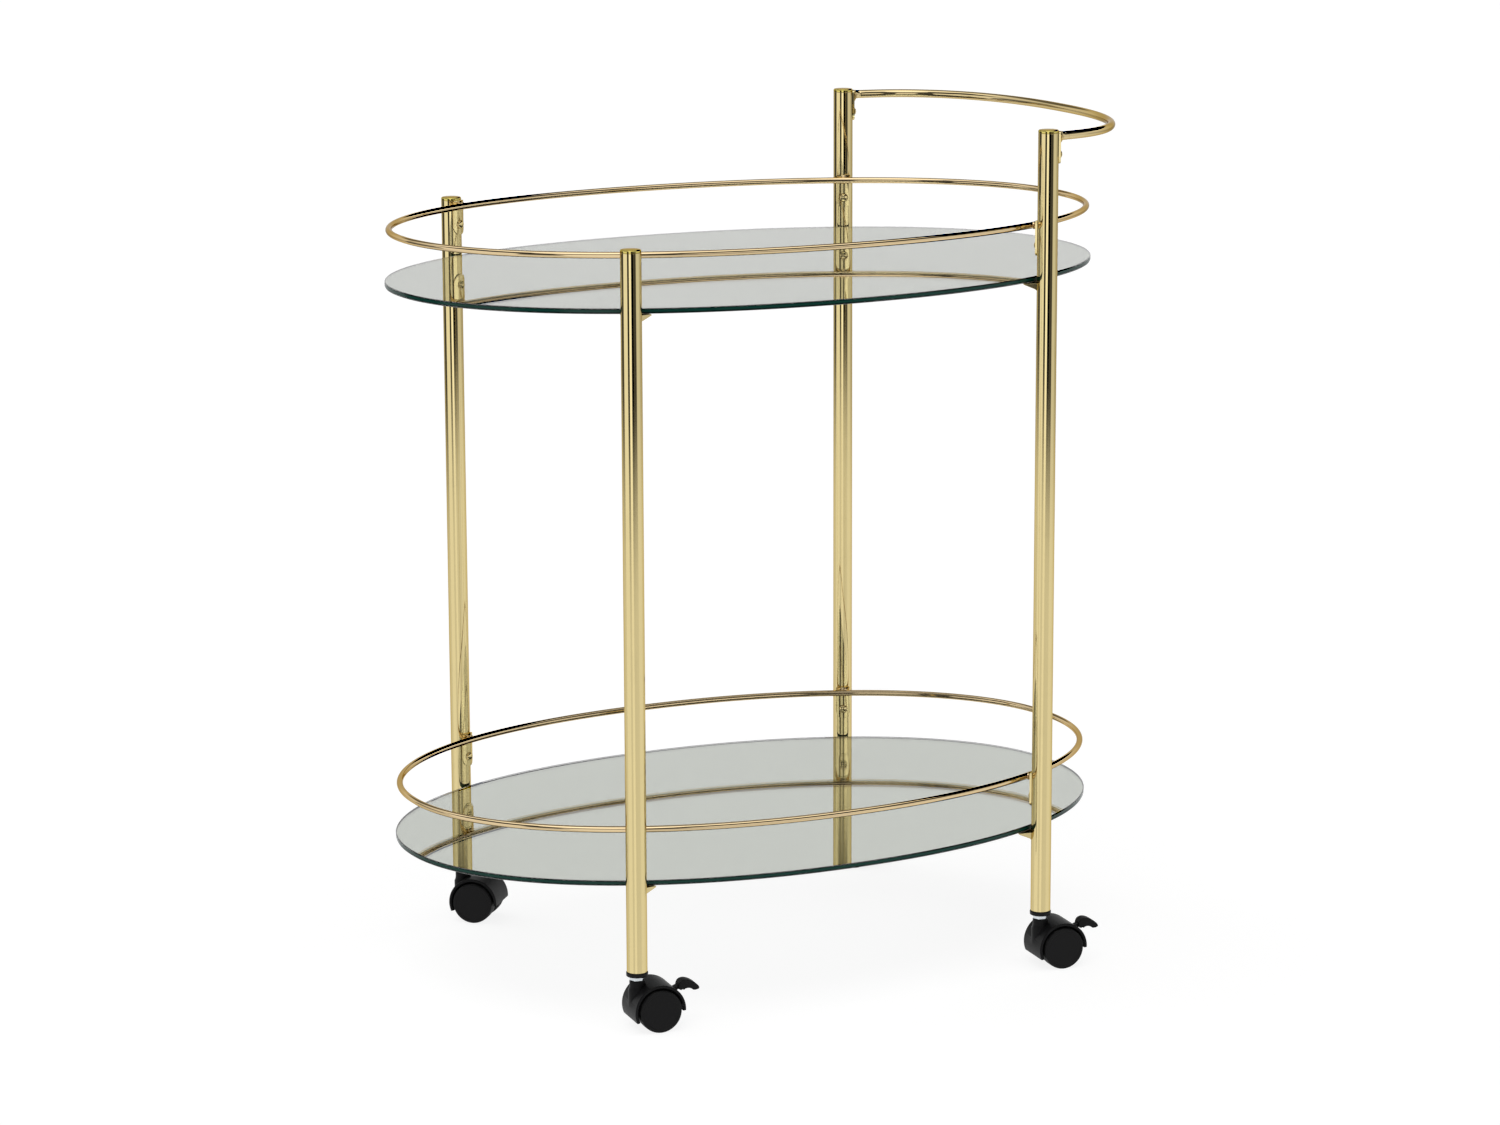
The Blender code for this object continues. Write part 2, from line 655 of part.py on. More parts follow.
def brake_room():
    """The cutters for the lever's slot and hub in the web, and for its pin."""
    slot_width = BRAKE_ARM_WIDTH + 2 * BRAKE_SIDE_GAP
    reach = 2 * HOOD_RADIUS
    fan = [(0.0, -BRAKE_HUB_RADIUS - BRAKE_SIDE_GAP)]
    fan += [(reach * math.cos(angle), reach * math.sin(angle)) for angle in (BRAKE_SLOT_LOW, BRAKE_SLOT_HIGH)]
    fan += [(-BRAKE_HUB_RADIUS - BRAKE_SIDE_GAP, 0.0)]
    # The fan is drawn in XY and stood up into the XZ plane of the web.
    upright = Matrix(((1, 0, 0, 0), (0, 0, -1, 0), (0, 1, 0, 0), (0, 0, 0, 1)))
    slot = helper("brake_slot", flat_outline("brake_slot", fan, slot_width), pivot_frame() @ upright)
    hub = cylinder("hub_room", BRAKE_HUB_RADIUS + BRAKE_SIDE_GAP, -slot_width / 2, slot_width / 2, BOSS_STEPS)
    pin = cylinder("pin_hole", BRAKE_PIN_RADIUS + TOUCH_GAP, -HOOD_WEB, HOOD_WEB, BRAKE_PIN_STEPS)
    across = pivot_frame() @ Z_TO_Y
    return [slot, helper("hub_room", hub, across), helper("pin_hole", pin, across)]


def wheel_mesh():
    """A wheel with its inner face at height 0, its outer face closed and a blind bore for the axle."""
    face = WHEEL_WIDTH
    bore = AXLE_RADIUS + TOUCH_GAP
    return turned("wheel", [
        (0, face),
        (WHEEL_RADIUS - WHEEL_ROUND, face),
        (WHEEL_RADIUS, face - WHEEL_ROUND),
        (WHEEL_RADIUS, WHEEL_ROUND),
        (WHEEL_RADIUS - WHEEL_ROUND, 0),
        (bore, 0),
        (bore, AXLE_INTO_WHEEL + 2 * TOUCH_GAP),
        (0, AXLE_INTO_WHEEL + 2 * TOUCH_GAP),
    ], steps=WHEEL_STEPS)


def lever_mesh():
    """The brake lever with its pivot at the origin and its pin along Y."""
    upright = Matrix(((1, 0, 0, 0), (0, 0, -1, 0), (0, 1, 0, 0), (0, 0, 0, 1)))
    paddle = helper("paddle", flat_outline("paddle", BRAKE_PADDLE, BRAKE_PADDLE_WIDTH), upright)
    neck = Vector(BRAKE_NECK)
    across = Vector((-neck.y, neck.x)).normalized() * BRAKE_ARM_THICKNESS / 2
    strip = [-across, neck - across, neck + across, across]
    arm = helper("arm", flat_outline("arm", [tuple(point) for point in strip], BRAKE_ARM_WIDTH), upright)
    hub_mesh = cylinder("hub", BRAKE_HUB_RADIUS, -BRAKE_ARM_WIDTH / 2, BRAKE_ARM_WIDTH / 2, BOSS_STEPS)
    hub = helper("hub", hub_mesh, Z_TO_Y)
    hole_mesh = cylinder("hub_hole", BRAKE_PIN_RADIUS + TOUCH_GAP, -HOOD_WEB, HOOD_WEB, BRAKE_PIN_STEPS)
    hole = helper("hub_hole", hole_mesh, Z_TO_Y)
    boolean(paddle, "UNION", arm)
    boolean(paddle, "UNION", hub)
    boolean(paddle, "DIFFERENCE", hole)
    mesh = baked(paddle)
    for used in (arm, hub, hole):
        bpy.data.objects.remove(used)
    shade(mesh)
    return mesh


def build_caster(corner):
    """One caster: the fixed stem, and the body, axle, wheels and brake that swivel round it."""
    foot = post_axis(corner)
    stem = turned(f"caster_stem_{corner}", [
        (0, TUBE_BOTTOM + PLUG_INSERT),
        (STEM_RADIUS, TUBE_BOTTOM + PLUG_INSERT),
        (STEM_RADIUS, NUT_BOTTOM + NUT_HEIGHT),
        (NUT_RADIUS, NUT_BOTTOM + NUT_HEIGHT),
        (NUT_RADIUS, NUT_BOTTOM),
        (STEM_RADIUS, NUT_BOTTOM),
        (STEM_RADIUS, BOSS_TOP - BORE_DEPTH + 2 * TOUCH_GAP),
        (0, BOSS_TOP - BORE_DEPTH + 2 * TOUCH_GAP),
    ], steps=STEM_STEPS)
    part(f"caster_stem_{corner}", stem, STEM_ZINC, Matrix.Translation(foot))

    swivel = place(f"swivel_{corner}", None, PARTS)
    swivel.location = foot
    swivel.rotation_euler.z = math.radians(CASTER_HEADINGS[corner])
    braked = corner in BRAKED
    part(f"caster_hood_{corner}", hood_mesh(braked), HOOD_PLASTIC, parent=swivel)

    axle_frame = Matrix.Translation((CASTER_TRAIL, 0, WHEEL_RADIUS))
    half_axle = WHEEL_INNER_FACE + AXLE_INTO_WHEEL
    axle = cylinder("axle", AXLE_RADIUS, -half_axle, half_axle, STEM_STEPS)
    shade(axle)
    part(f"caster_axle_{corner}", axle, STEM_ZINC, axle_frame @ Z_TO_Y, swivel)
    for side, name in ((-1, "a"), (1, "b")):
        frame = axle_frame @ Matrix.Translation((0, side * WHEEL_INNER_FACE, 0))
        turn = Z_TO_Y if side > 0 else Z_TO_Y.inverted()
        part(f"wheel_{name}_{corner}", wheel_mesh(), WHEEL_PLASTIC, frame @ turn, swivel)
    if braked:
        part(f"brake_lever_{corner}", lever_mesh(), BRAKE_PLASTIC, pivot_frame(), swivel)
        half_pin = HOOD_WEB / 2 - TOUCH_GAP
        pin = cylinder("brake_pin", BRAKE_PIN_RADIUS, -half_pin, half_pin, BRAKE_PIN_STEPS)
        part(f"brake_pin_{corner}", pin, STEM_ZINC, pivot_frame() @ Z_TO_Y, swivel)


build_shelves()
build_rails()
build_handle()
for post_corner in CORNERS:
    build_post(post_corner)
    build_brackets(post_corner)
    build_screws(post_corner)
    build_caster(post_corner)
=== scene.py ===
"""Oval bar cart on wheels: two mirror shelves between four brass posts, on twin-wheel casters.

Each section makes one kind of piece, in the order in which the cart is put together.
"""

import json
import math

import bmesh
import bpy
from mathutils import Matrix, Vector, noise


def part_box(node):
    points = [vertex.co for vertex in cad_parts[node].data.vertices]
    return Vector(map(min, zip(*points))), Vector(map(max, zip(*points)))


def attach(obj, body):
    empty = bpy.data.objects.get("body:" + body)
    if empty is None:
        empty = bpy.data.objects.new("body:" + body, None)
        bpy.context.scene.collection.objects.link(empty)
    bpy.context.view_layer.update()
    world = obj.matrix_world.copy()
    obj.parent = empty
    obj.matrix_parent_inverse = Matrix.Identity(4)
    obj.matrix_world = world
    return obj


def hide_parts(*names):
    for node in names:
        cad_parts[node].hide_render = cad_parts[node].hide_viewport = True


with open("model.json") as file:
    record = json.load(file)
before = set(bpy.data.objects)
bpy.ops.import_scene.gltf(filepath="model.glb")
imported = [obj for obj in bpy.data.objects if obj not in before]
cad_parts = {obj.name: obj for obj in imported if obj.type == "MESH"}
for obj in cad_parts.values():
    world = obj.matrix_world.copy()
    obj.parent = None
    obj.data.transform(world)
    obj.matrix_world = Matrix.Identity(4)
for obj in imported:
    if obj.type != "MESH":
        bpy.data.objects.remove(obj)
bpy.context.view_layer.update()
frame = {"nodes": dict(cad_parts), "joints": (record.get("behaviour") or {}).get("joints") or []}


# ------------------------------------------------------------------ posts
# Four posts of round steel tube with a thin wall, cut square, polished and plated with brass. The two
# at the handle end are taller. Everything else on the cart is fixed to them or stands under them.

CORNERS = {"near_left": (-1, -1), "near_right": (1, -1), "far_left": (-1, 1), "far_right": (1, 1)}
TUBE_WALL = 0.0012
TUBE_PLAY = 0.0003
MOUTH_ROUND = 0.00025


class Value:
    """A number that changes over a surface. Adding or multiplying values adds the nodes for it."""

    def __init__(self, finish, socket):
        self.finish = finish
        self.socket = socket

    def math(self, operation, first, second):
        return self.finish.node("ShaderNodeMath", {"operation": operation}, {0: first, 1: second})

    def __add__(self, other):
        return self.math("ADD", self, other)

    def __radd__(self, other):
        return self.math("ADD", other, self)

    def __sub__(self, other):
        return self.math("SUBTRACT", self, other)

    def __rsub__(self, other):
        return self.math("SUBTRACT", other, self)

    def __mul__(self, other):
        return self.math("MULTIPLY", self, other)

    def __rmul__(self, other):
        return self.math("MULTIPLY", other, self)

    def root(self):
        """The square root."""
        return self.finish.node("ShaderNodeMath", {"operation": "SQRT"}, {0: self})

    def between(self, low, high, soft):
        """1 from low to high, and 0 outside, with soft ends."""
        rise = self.finish.step(self, low - soft, low + soft)
        return rise * (1 - self.finish.step(self, high - soft, high + soft))


class Finish:
    """A material, built node by node. The same calls build the studio's surroundings."""

    def __init__(self, owner):
        owner.use_nodes = True
        self.owner = owner
        self.tree = owner.node_tree
        self.tree.nodes.clear()

    def node(self, kind, settings, sockets, output=0):
        """Adds a node with its settings, fills its sockets with numbers or values, and gives one output."""
        made = self.tree.nodes.new(kind)
        for name, setting in settings.items():
            setattr(made, name, setting)
        for name, value in sockets.items():
            if isinstance(value, Value):
                self.tree.links.new(value.socket, made.inputs[name])
            else:
                made.inputs[name].default_value = value
        return Value(self, made.outputs[output]) if made.outputs else None

    def place(self, scale=(1.0, 1.0, 1.0)):
        """The point on the cart, in metres, with each axis stretched by a scale."""
        point = self.node("ShaderNodeTexCoord", {}, {}, "Object")
        return self.node("ShaderNodeMapping", {}, {"Vector": point, "Scale": scale})

    def grain(self, scale, detail, stretch=(1.0, 1.0, 1.0), distortion=0.0):
        """Noise of so many lumps to the metre, about 0.5 on average."""
        sockets = {"Vector": self.place(stretch), "Scale": scale, "Detail": detail, "Distortion": distortion}
        return self.node("ShaderNodeTexNoise", {}, sockets)

    def step(self, value, low, high):
        """0 below low, 1 above high, and a smooth rise between."""
        ends = {"Value": value, "From Min": low, "From Max": high}
        return self.node("ShaderNodeMapRange", {"interpolation_type": "SMOOTHSTEP"}, ends)

    def blend(self, factor, first, second):
        """The first colour where the factor is 0, and the second where it is 1."""
        sockets = {0: factor}
        for slot, colour in ((6, first), (7, second)):
            sockets[slot] = colour if isinstance(colour, Value) else (*colour, 1.0)
        return self.node("ShaderNodeMix", {"data_type": "RGBA"}, sockets, 2)

    def dents(self, height, depth, strength):
        """A surface normal for a height from 0 to 1 that stands for a depth in metres."""
        return self.node("ShaderNodeBump", {}, {"Strength": strength, "Distance": depth, "Height": height})

    def surface(self, sockets):
        """Ends the material with one surface and gives the material."""
        shader = self.node("ShaderNodeBsdfPrincipled", {}, sockets)
        self.node("ShaderNodeOutputMaterial", {}, {"Surface": shader})
        return self.owner


def polished_brass(name, colour, gloss, stretch=(1.0, 1.0, 1.0)):
    """Brass plating over polished steel: cloudy tone, polishing lines, finger smears and fine pits."""
    brass = Finish(bpy.data.materials.new(name))
    clouds = brass.grain(9.0, 3.0)
    lines = brass.grain(900.0, 2.0, stretch)
    smears = brass.step(brass.grain(38.0, 4.0, distortion=1.2), 0.52, 0.74)
    pits = brass.step(brass.grain(2600.0, 1.0), 0.70, 0.78)
    worn = tuple(0.94 * channel for channel in colour)
    tone = brass.blend(clouds * 0.5 + smears * 0.35, colour, worn)
    return brass.surface({
        "Base Color": tone,
        "Metallic": 1.0,
        "Specular Tint": (0.62, 0.50, 0.30, 1.0),
        "Roughness": gloss + smears * 0.035 + lines * 0.03 + pits * 0.1,
        "Normal": brass.dents(lines * 0.6 + pits * 0.4, 0.000002, 0.3),
    })


POST_BRASS = polished_brass("post_brass_plating", (0.69, 0.572, 0.288), 0.035, (1.0, 1.0, 0.02))


def spun(profile, steps, turn=2 * math.pi):
    """A profile of (radius, height) points turned round Z. A part turn gets its two ends closed."""
    shape = bmesh.new()
    points = [shape.verts.new((radius, 0, height)) for radius, height in profile]
    edges = [shape.edges.new(pair) for pair in zip(points, points[1:])]
    whole = turn == 2 * math.pi
    bmesh.ops.spin(shape, geom=points + edges, cent=(0, 0, 0), axis=(0, 0, 1), steps=steps,
                   angle=turn, use_merge=whole)
    bmesh.ops.remove_doubles(shape, verts=shape.verts, dist=1e-6)
    if not whole:
        bmesh.ops.holes_fill(shape, edges=shape.edges)
    bmesh.ops.recalc_face_normals(shape, faces=shape.faces)
    return shape


def eased(shape, width, steps=2, sharper=35):
    """Rounds every edge where two faces turn by more than an angle in degrees."""
    shape.normal_update()
    edges = [edge for edge in shape.edges
             if len(edge.link_faces) == 2 and edge.calc_face_angle(0.0) > math.radians(sharper)]
    bmesh.ops.bevel(shape, geom=edges, offset=width, segments=steps, profile=0.5, affect="EDGES",
                    material=-1, clamp_overlap=True)
    return shape


def moved(shape, place):
    """Puts a shape in its place."""
    bmesh.ops.transform(shape, matrix=place, verts=shape.verts)
    return shape


def together(*shapes):
    """Several shapes in one."""
    whole = bmesh.new()
    for shape in shapes:
        part = bpy.data.meshes.new("part")
        shape.to_mesh(part)
        shape.free()
        whole.from_mesh(part)
        bpy.data.meshes.remove(part)
    return whole


def piece(name, shape, finishes, body, slot, *nodes, crease=32):
    """Makes a shape a piece of the cart that rides on a body and stands for its CAD nodes."""
    mesh = bpy.data.meshes.new(name)
    shape.to_mesh(mesh)
    shape.free()
    mesh.shade_smooth()
    mesh.set_sharp_from_angle(angle=math.radians(crease))
    for finish in finishes:
        mesh.materials.append(finish)
    made = bpy.data.objects.new(name, mesh)
    bpy.context.scene.collection.objects.link(made)
    # Long faces keep straight reflections up to their rounded edges.
    weighted = made.modifiers.new("weighted", "WEIGHTED_NORMAL")
    weighted.keep_sharp = True
    bpy.context.view_layer.update()
    made.data = bpy.data.meshes.new_from_object(made.evaluated_get(bpy.context.evaluated_depsgraph_get()))
    made.data.name = f"{name}_mesh"
    made.modifiers.clear()
    bpy.data.meshes.remove(mesh)
    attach(made, body)
    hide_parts(*nodes)
    return made


def post_axis(corner):
    """The point on the floor under a post, and the radius of its tube."""
    low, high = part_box(f"post_{corner}")
    return Vector(((low.x + high.x) / 2, (low.y + high.y) / 2, 0)), (high.x - low.x) / 2


for corner in CORNERS:
    axis, radius = post_axis(corner)
    low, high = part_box(f"post_{corner}")
    tube = spun([
        (radius, high.z), (radius, low.z), (radius - TUBE_WALL, low.z), (radius - TUBE_WALL, high.z),
        (radius, high.z),
    ], 96)
    tube = moved(eased(tube, MOUTH_ROUND), Matrix.Translation(axis))
    piece(f"tube_{corner}", tube, [POST_BRASS], "cart", "post_brass", f"post_{corner}")


# ------------------------------------------------------------------ post caps
# A pressed brass cap closes each post. Its short sleeve is pushed into the tube, its rim is flush with
# the tube's side, and its top is very slightly domed. A fine seam shows where the two meet.

CAP_RIM = 0.003
CAP_ROUND = 0.0013
CAP_DOME = 0.00035
CAP_SLEEVE = 0.008

CAP_BRASS = polished_brass("cap_brass_plating", (0.60, 0.50, 0.14), 0.07)

for corner in CORNERS:
    axis, radius = post_axis(corner)
    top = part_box(f"cap_{corner}")[1].z
    shoulder = top - CAP_DOME
    dome = [(index / 6 * (radius - CAP_ROUND), top - CAP_DOME * (index / 6) ** 2) for index in range(7)]
    edge = [(radius - CAP_ROUND + CAP_ROUND * math.sin(turn), shoulder - CAP_ROUND + CAP_ROUND * math.cos(turn))
            for turn in (math.radians(angle) for angle in (15, 30, 45, 60, 75, 90))]
    sleeve = radius - TUBE_WALL - TUBE_PLAY
    plunge = top - CAP_RIM - CAP_SLEEVE
    cap = spun(dome + edge + [
        (radius, top - CAP_RIM), (sleeve, top - CAP_RIM), (sleeve, plunge), (0, plunge),
    ], 96)
    cap = moved(cap, Matrix.Translation(axis))
    piece(f"post_cap_{corner}", cap, [CAP_BRASS], "cart", "post_brass", f"cap_{corner}")


# ------------------------------------------------------------------ shelf brackets
# Under each shelf, at every post, a small fan of steel is welded to the tube and plated with it. Its
# flat top carries the glass, and its underside slopes back to the post. A weld bead runs along its foot.

BRACKET_REACH = 0.022
BRACKET_DEPTH = 0.006
BRACKET_LIP = 0.0012
BRACKET_START = math.radians(9)
BRACKET_SPREAD = math.radians(83)
# The weld bead's outline: out from the tube, and up from the foot of the fan.
BRACKET_BEAD = ((-0.0002, -0.0009), (0.0008, -0.0007), (0.0013, 0.0002), (-0.0002, 0.0006), (-0.0002, -0.0009))
BEAD_RIPPLE = 0.00025
BEAD_WAVES = 30

BRACKET_BRASS = polished_brass("bracket_brass_plating", (0.60, 0.49, 0.25), 0.14)

for corner, (side, end) in CORNERS.items():
    axis, radius = post_axis(corner)
    for level in ("lower", "upper"):
        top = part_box(f"{level}_bracket_{corner}")[1].z
        foot = top - BRACKET_DEPTH
        fan = spun([
            (radius, top), (BRACKET_REACH, top), (BRACKET_REACH, top - BRACKET_LIP),
            (radius + BRACKET_LIP, foot), (radius, foot), (radius, top),
        ], 40, BRACKET_SPREAD)
        bead = spun([(radius + out, foot + up) for out, up in BRACKET_BEAD], 60, BRACKET_SPREAD)
        for vert in bead.verts:
            wave = math.sin(BEAD_WAVES * math.atan2(vert.co.y, vert.co.x))
            vert.co += vert.co.xy.to_3d().normalized() * BEAD_RIPPLE * wave
        bracket = together(eased(fan, 0.0003), bead)
        # The fan is shaped as on the near left post, and mirrored for the others.
        mirror = Matrix.Translation(axis) @ Matrix.Diagonal((-side, -end, 1, 1))
        moved(bracket, mirror @ Matrix.Rotation(BRACKET_START, 4, "Z"))
        bmesh.ops.recalc_face_normals(bracket, faces=bracket.faces)
        piece(f"shelf_bracket_{level}_{corner}", bracket, [BRACKET_BRASS], "cart", "bracket_brass",
              f"{level}_bracket_{corner}")


# ------------------------------------------------------------------ mirror shelves
# Each shelf is an oval pane of 5 mm float glass, silvered on its underside under a coat of grey paint.
# The rim is ground and polished with a narrow slope above and below. Its look from outside is painted light and
# shade: a deep green painted glow in the middle of its thickness, and painted shade, nearly black, at its lines.

SQUARENESS = 2.11
RIM_POINTS = 288
SLOPE = 0.0007
SILVER_DEPTH = 0.0048
SILVER_INSET = 0.0005
PAINT_GAP = 0.00005


def oval(half_length, half_width, squareness, angle):
    """A point of an oval and its outward normal there."""
    along, across = math.cos(angle), math.sin(angle)
    power = 2 / squareness
    point = Vector((
        math.copysign(abs(along) ** power, along) * half_length,
        math.copysign(abs(across) ** power, across) * half_width,
        0,
    ))
    normal = Vector((
        math.copysign(abs(along) ** (2 - power), along) / half_length,
        math.copysign(abs(across) ** (2 - power), across) / half_width,
        0,
    ))
    return point, normal.normalized()


def oval_plate(half_length, half_width, inset, low, high):
    """An oval plate, inset from the shelf's rim, between two heights."""
    shape = bmesh.new()
    ring = bmesh.ops.create_circle(shape, cap_ends=True, segments=RIM_POINTS, radius=1.0)["verts"]
    for vert in ring:
        point, normal = oval(half_length, half_width, SQUARENESS, math.atan2(vert.co.y, vert.co.x))
        vert.co = point - normal * inset + Vector((0, 0, low))
    made = bmesh.ops.extrude_face_region(shape, geom=shape.faces[:])["geom"]
    raised = [item for item in made if isinstance(item, bmesh.types.BMVert)]
    bmesh.ops.translate(shape, verts=raised, vec=(0, 0, high - low))
    bmesh.ops.recalc_face_normals(shape, faces=shape.faces)
    return shape


pane = Finish(bpy.data.materials.new("clear_float_glass"))
wiped = pane.step(pane.grain(7.0, 5.0, (1.0, 2.2, 1.0), 0.8), 0.55, 0.75)
CLEAR_GLASS = pane.surface({
    "Base Color": (0.97, 0.985, 0.975, 1.0),
    "Roughness": wiped * 0.012,
    "IOR": 1.52,
    "Transmission Weight": 1.0,
})


def rim_glass(name, middle):
    """The polished rim of a pane, opaque, with painted light and shade: a deep green painted glow in the middle of
    its thickness, and painted shade, nearly black, at its lines.
    """
    rim = Finish(bpy.data.materials.new(name))
    height = rim.node("ShaderNodeSeparateXYZ", {}, {"Vector": rim.place()}, "Z")
    # Painted light and shade: a deep green glow is painted across the middle of the rim's thickness, and the rim
    # above and below it is painted nearly black as shade.
    painted_glow_band = height.between(middle - 0.0011, middle + 0.0013, 0.0007)
    streaks = rim.grain(60.0, 3.0, (1.0, 1.0, 0.1))
    tone = rim.blend(painted_glow_band * (0.55 + streaks * 0.9), (0.0008, 0.0042, 0.0036), (0.004, 0.040, 0.029))
    return rim.surface({
        "Base Color": tone,
        "Roughness": 0.12 + streaks * 0.08,
        "IOR": 1.52,
        "Specular IOR Level": 0.14,
        "Normal": rim.dents(streaks, 0.00003, 0.4),
    })


silver = Finish(bpy.data.materials.new("silvering"))
SILVERING = silver.surface({
    "Base Color": silver.blend(silver.grain(3.0, 2.0), (0.595, 0.615, 0.565), (0.615, 0.635, 0.585)),
    "Metallic": 1.0,
    "Roughness": 0.006 + silver.step(silver.grain(400.0, 2.0), 0.72, 0.8) * 0.05,
})

paint = Finish(bpy.data.materials.new("backing_paint"))
roller = paint.grain(420.0, 3.0)
drips = paint.grain(24.0, 3.0, (0.3, 1.0, 1.0))
BACKING_PAINT = paint.surface({
    "Base Color": paint.blend(drips, (0.30, 0.31, 0.31), (0.37, 0.38, 0.375)),
    "Roughness": 0.5 + roller * 0.2,
    "Normal": paint.dents(roller * 0.7 + drips * 0.3, 0.00008, 0.6),
})

for level in ("lower", "upper"):
    low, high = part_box(f"{level}_shelf")
    half_length, half_width = high.x, high.y
    glass = oval_plate(half_length, half_width, 0.0, high.z - SILVER_DEPTH + PAINT_GAP, high.z)
    eased(glass, SLOPE, 1, 60)
    glass.normal_update()
    # The top is clear, the sides are the green rim, and the underside is the silvering.
    for face in glass.faces:
        face.material_index = 1 if abs(face.normal.z) < 0.3 else 2 if face.normal.z < -0.9 else 0
    rim = rim_glass(f"{level}_rim_glass", high.z - SILVER_DEPTH / 2)
    piece(f"{level}_pane", glass, [CLEAR_GLASS, rim, SILVERING], "cart", "mirror_glass", f"{level}_shelf", crease=25)
    backing = oval_plate(half_length, half_width, SILVER_INSET, low.z, high.z - SILVER_DEPTH)
    piece(f"{level}_painted_backing", backing, [BACKING_PAINT], "cart", "mirror_glass", f"{level}_shelf", crease=25)


# ------------------------------------------------------------------ gallery rails
# A ring of 6 mm round wire stands inside each shelf's rim. At every post a short neck joins it to a
# curved steel tab, which a screw holds to the post. The whole rail is welded first and then plated.

RAIL_INSET = 0.0047
RAIL_WIRE = 0.003
RAIL_STEPS = 288
TAB_WIDTH = 0.016
TAB_THICKNESS = 0.0019
TAB_CORNER = 0.002
TAB_PLAY = 0.0001
RAIL_TAB_RISE = 0.005
RAIL_TAB_DROP = 0.028
NECK_RADIUS = 0.0026
NECK_FLARE = 1.25
NECK_FLARE_RUN = 0.0012
# A weld bead's radius, and how flat it is.
NECK_FOOT_BEAD = (0.0042, 0.32)
NECK_WIRE_BEAD = (0.0036, 0.5)
ALONG_X = Matrix.Rotation(math.pi / 2, 4, "Y")

RAIL_BRASS = polished_brass("rail_brass_plating", (0.66, 0.51, 0.30), 0.02)


def wire_frame(point, outward, swell=1.0):
    """A frame across a wire that runs level, with its X axis outward and its Y axis up."""
    up = Vector((0, 0, 1))
    facing = Matrix((outward, up, outward.cross(up))).transposed().to_4x4()
    return Matrix.Translation(point) @ facing @ Matrix.Scale(swell, 4)


def drawn_wire(frames, radius, sides, closed):
    """A round wire drawn through its frames, closed to a ring or with flat ends."""
    shape = bmesh.new()
    bmesh.ops.create_circle(shape, segments=sides, radius=radius, matrix=frames[0])
    first = shape.edges[:]
    edges = first
    for before, after in zip(frames, frames[1:]):
        made = bmesh.ops.extrude_edge_only(shape, edges=edges)["geom"]
        edges = [item for item in made if isinstance(item, bmesh.types.BMEdge) and item.is_boundary]
        verts = [item for item in made if isinstance(item, bmesh.types.BMVert)]
        bmesh.ops.transform(shape, matrix=after @ before.inverted(), verts=verts)
    if closed:
        bmesh.ops.bridge_loops(shape, edges=first + edges)
    else:
        bmesh.ops.holes_fill(shape, edges=first + edges)
    bmesh.ops.recalc_face_normals(shape, faces=shape.faces)
    return shape


def curved_tab(radius, rise, drop):
    """A plate bent round a post, with a round lower end. It faces +X, and the wire is at height 0."""
    shape = bmesh.new()
    bmesh.ops.create_grid(shape, x_segments=24, y_segments=40, size=0.5)
    half = TAB_WIDTH / 2
    # The grid's rows follow the round lower end, then the straight sides, then the two top corners.
    for vert in shape.verts:
        rank = vert.co.y + 0.5
        if rank < 0.4:
            turn = rank / 0.4 * math.pi / 2
            height, width = half - drop - half * math.cos(turn), half * math.sin(turn)
        elif rank > 0.85:
            turn = (rank - 0.85) / 0.15 * math.pi / 2
            height = rise - TAB_CORNER + TAB_CORNER * math.sin(turn)
            width = half - TAB_CORNER + TAB_CORNER * math.cos(turn)
        else:
            height, width = half - drop + (rank - 0.4) / 0.45 * (rise - TAB_CORNER - half + drop), half
        turn = 2 * vert.co.x * width / (radius + TAB_THICKNESS)
        vert.co = (radius * math.cos(turn), radius * math.sin(turn), height)
    bmesh.ops.remove_doubles(shape, verts=shape.verts, dist=1e-6)
    bmesh.ops.recalc_face_normals(shape, faces=shape.faces)
    bmesh.ops.solidify(shape, geom=shape.faces[:], thickness=TAB_THICKNESS)
    # A plate that thickened inwards is moved out, so that its inner side lies on the post.
    reach = max(vert.co.xy.length for vert in shape.verts)
    if reach < radius + TAB_THICKNESS / 2:
        for vert in shape.verts:
            vert.co.xy *= (vert.co.xy.length + TAB_THICKNESS) / vert.co.xy.length
    bmesh.ops.recalc_face_normals(shape, faces=shape.faces)
    eased(shape, 0.0004)
    for face in shape.faces:
        face.material_index = 1
    return shape


def weld_bead(place, size, squash, seed):
    """A small uneven lump of weld, flattened along its X axis."""
    shape = bmesh.new()
    bmesh.ops.create_icosphere(shape, subdivisions=4, radius=size)
    for vert in shape.verts:
        lump = noise.noise(vert.co / size * 1.6 + Vector((seed, 0, 0)))
        vert.co *= 1 + 0.10 * lump
    moved(shape, place @ Matrix.Diagonal((squash, 1, 1, 1)))
    return shape


def rim_facing(axis, half_length, half_width):
    """The direction from a post to the nearest point of the shelf's rim, as an angle from +X."""
    angles = [math.pi * 2 * index / 7200 for index in range(7200)]
    nearest = min(angles, key=lambda angle: (oval(half_length, half_width, SQUARENESS, angle)[0] - axis).length)
    normal = oval(half_length, half_width, SQUARENESS, nearest)[1]
    return math.atan2(-normal.y, -normal.x)


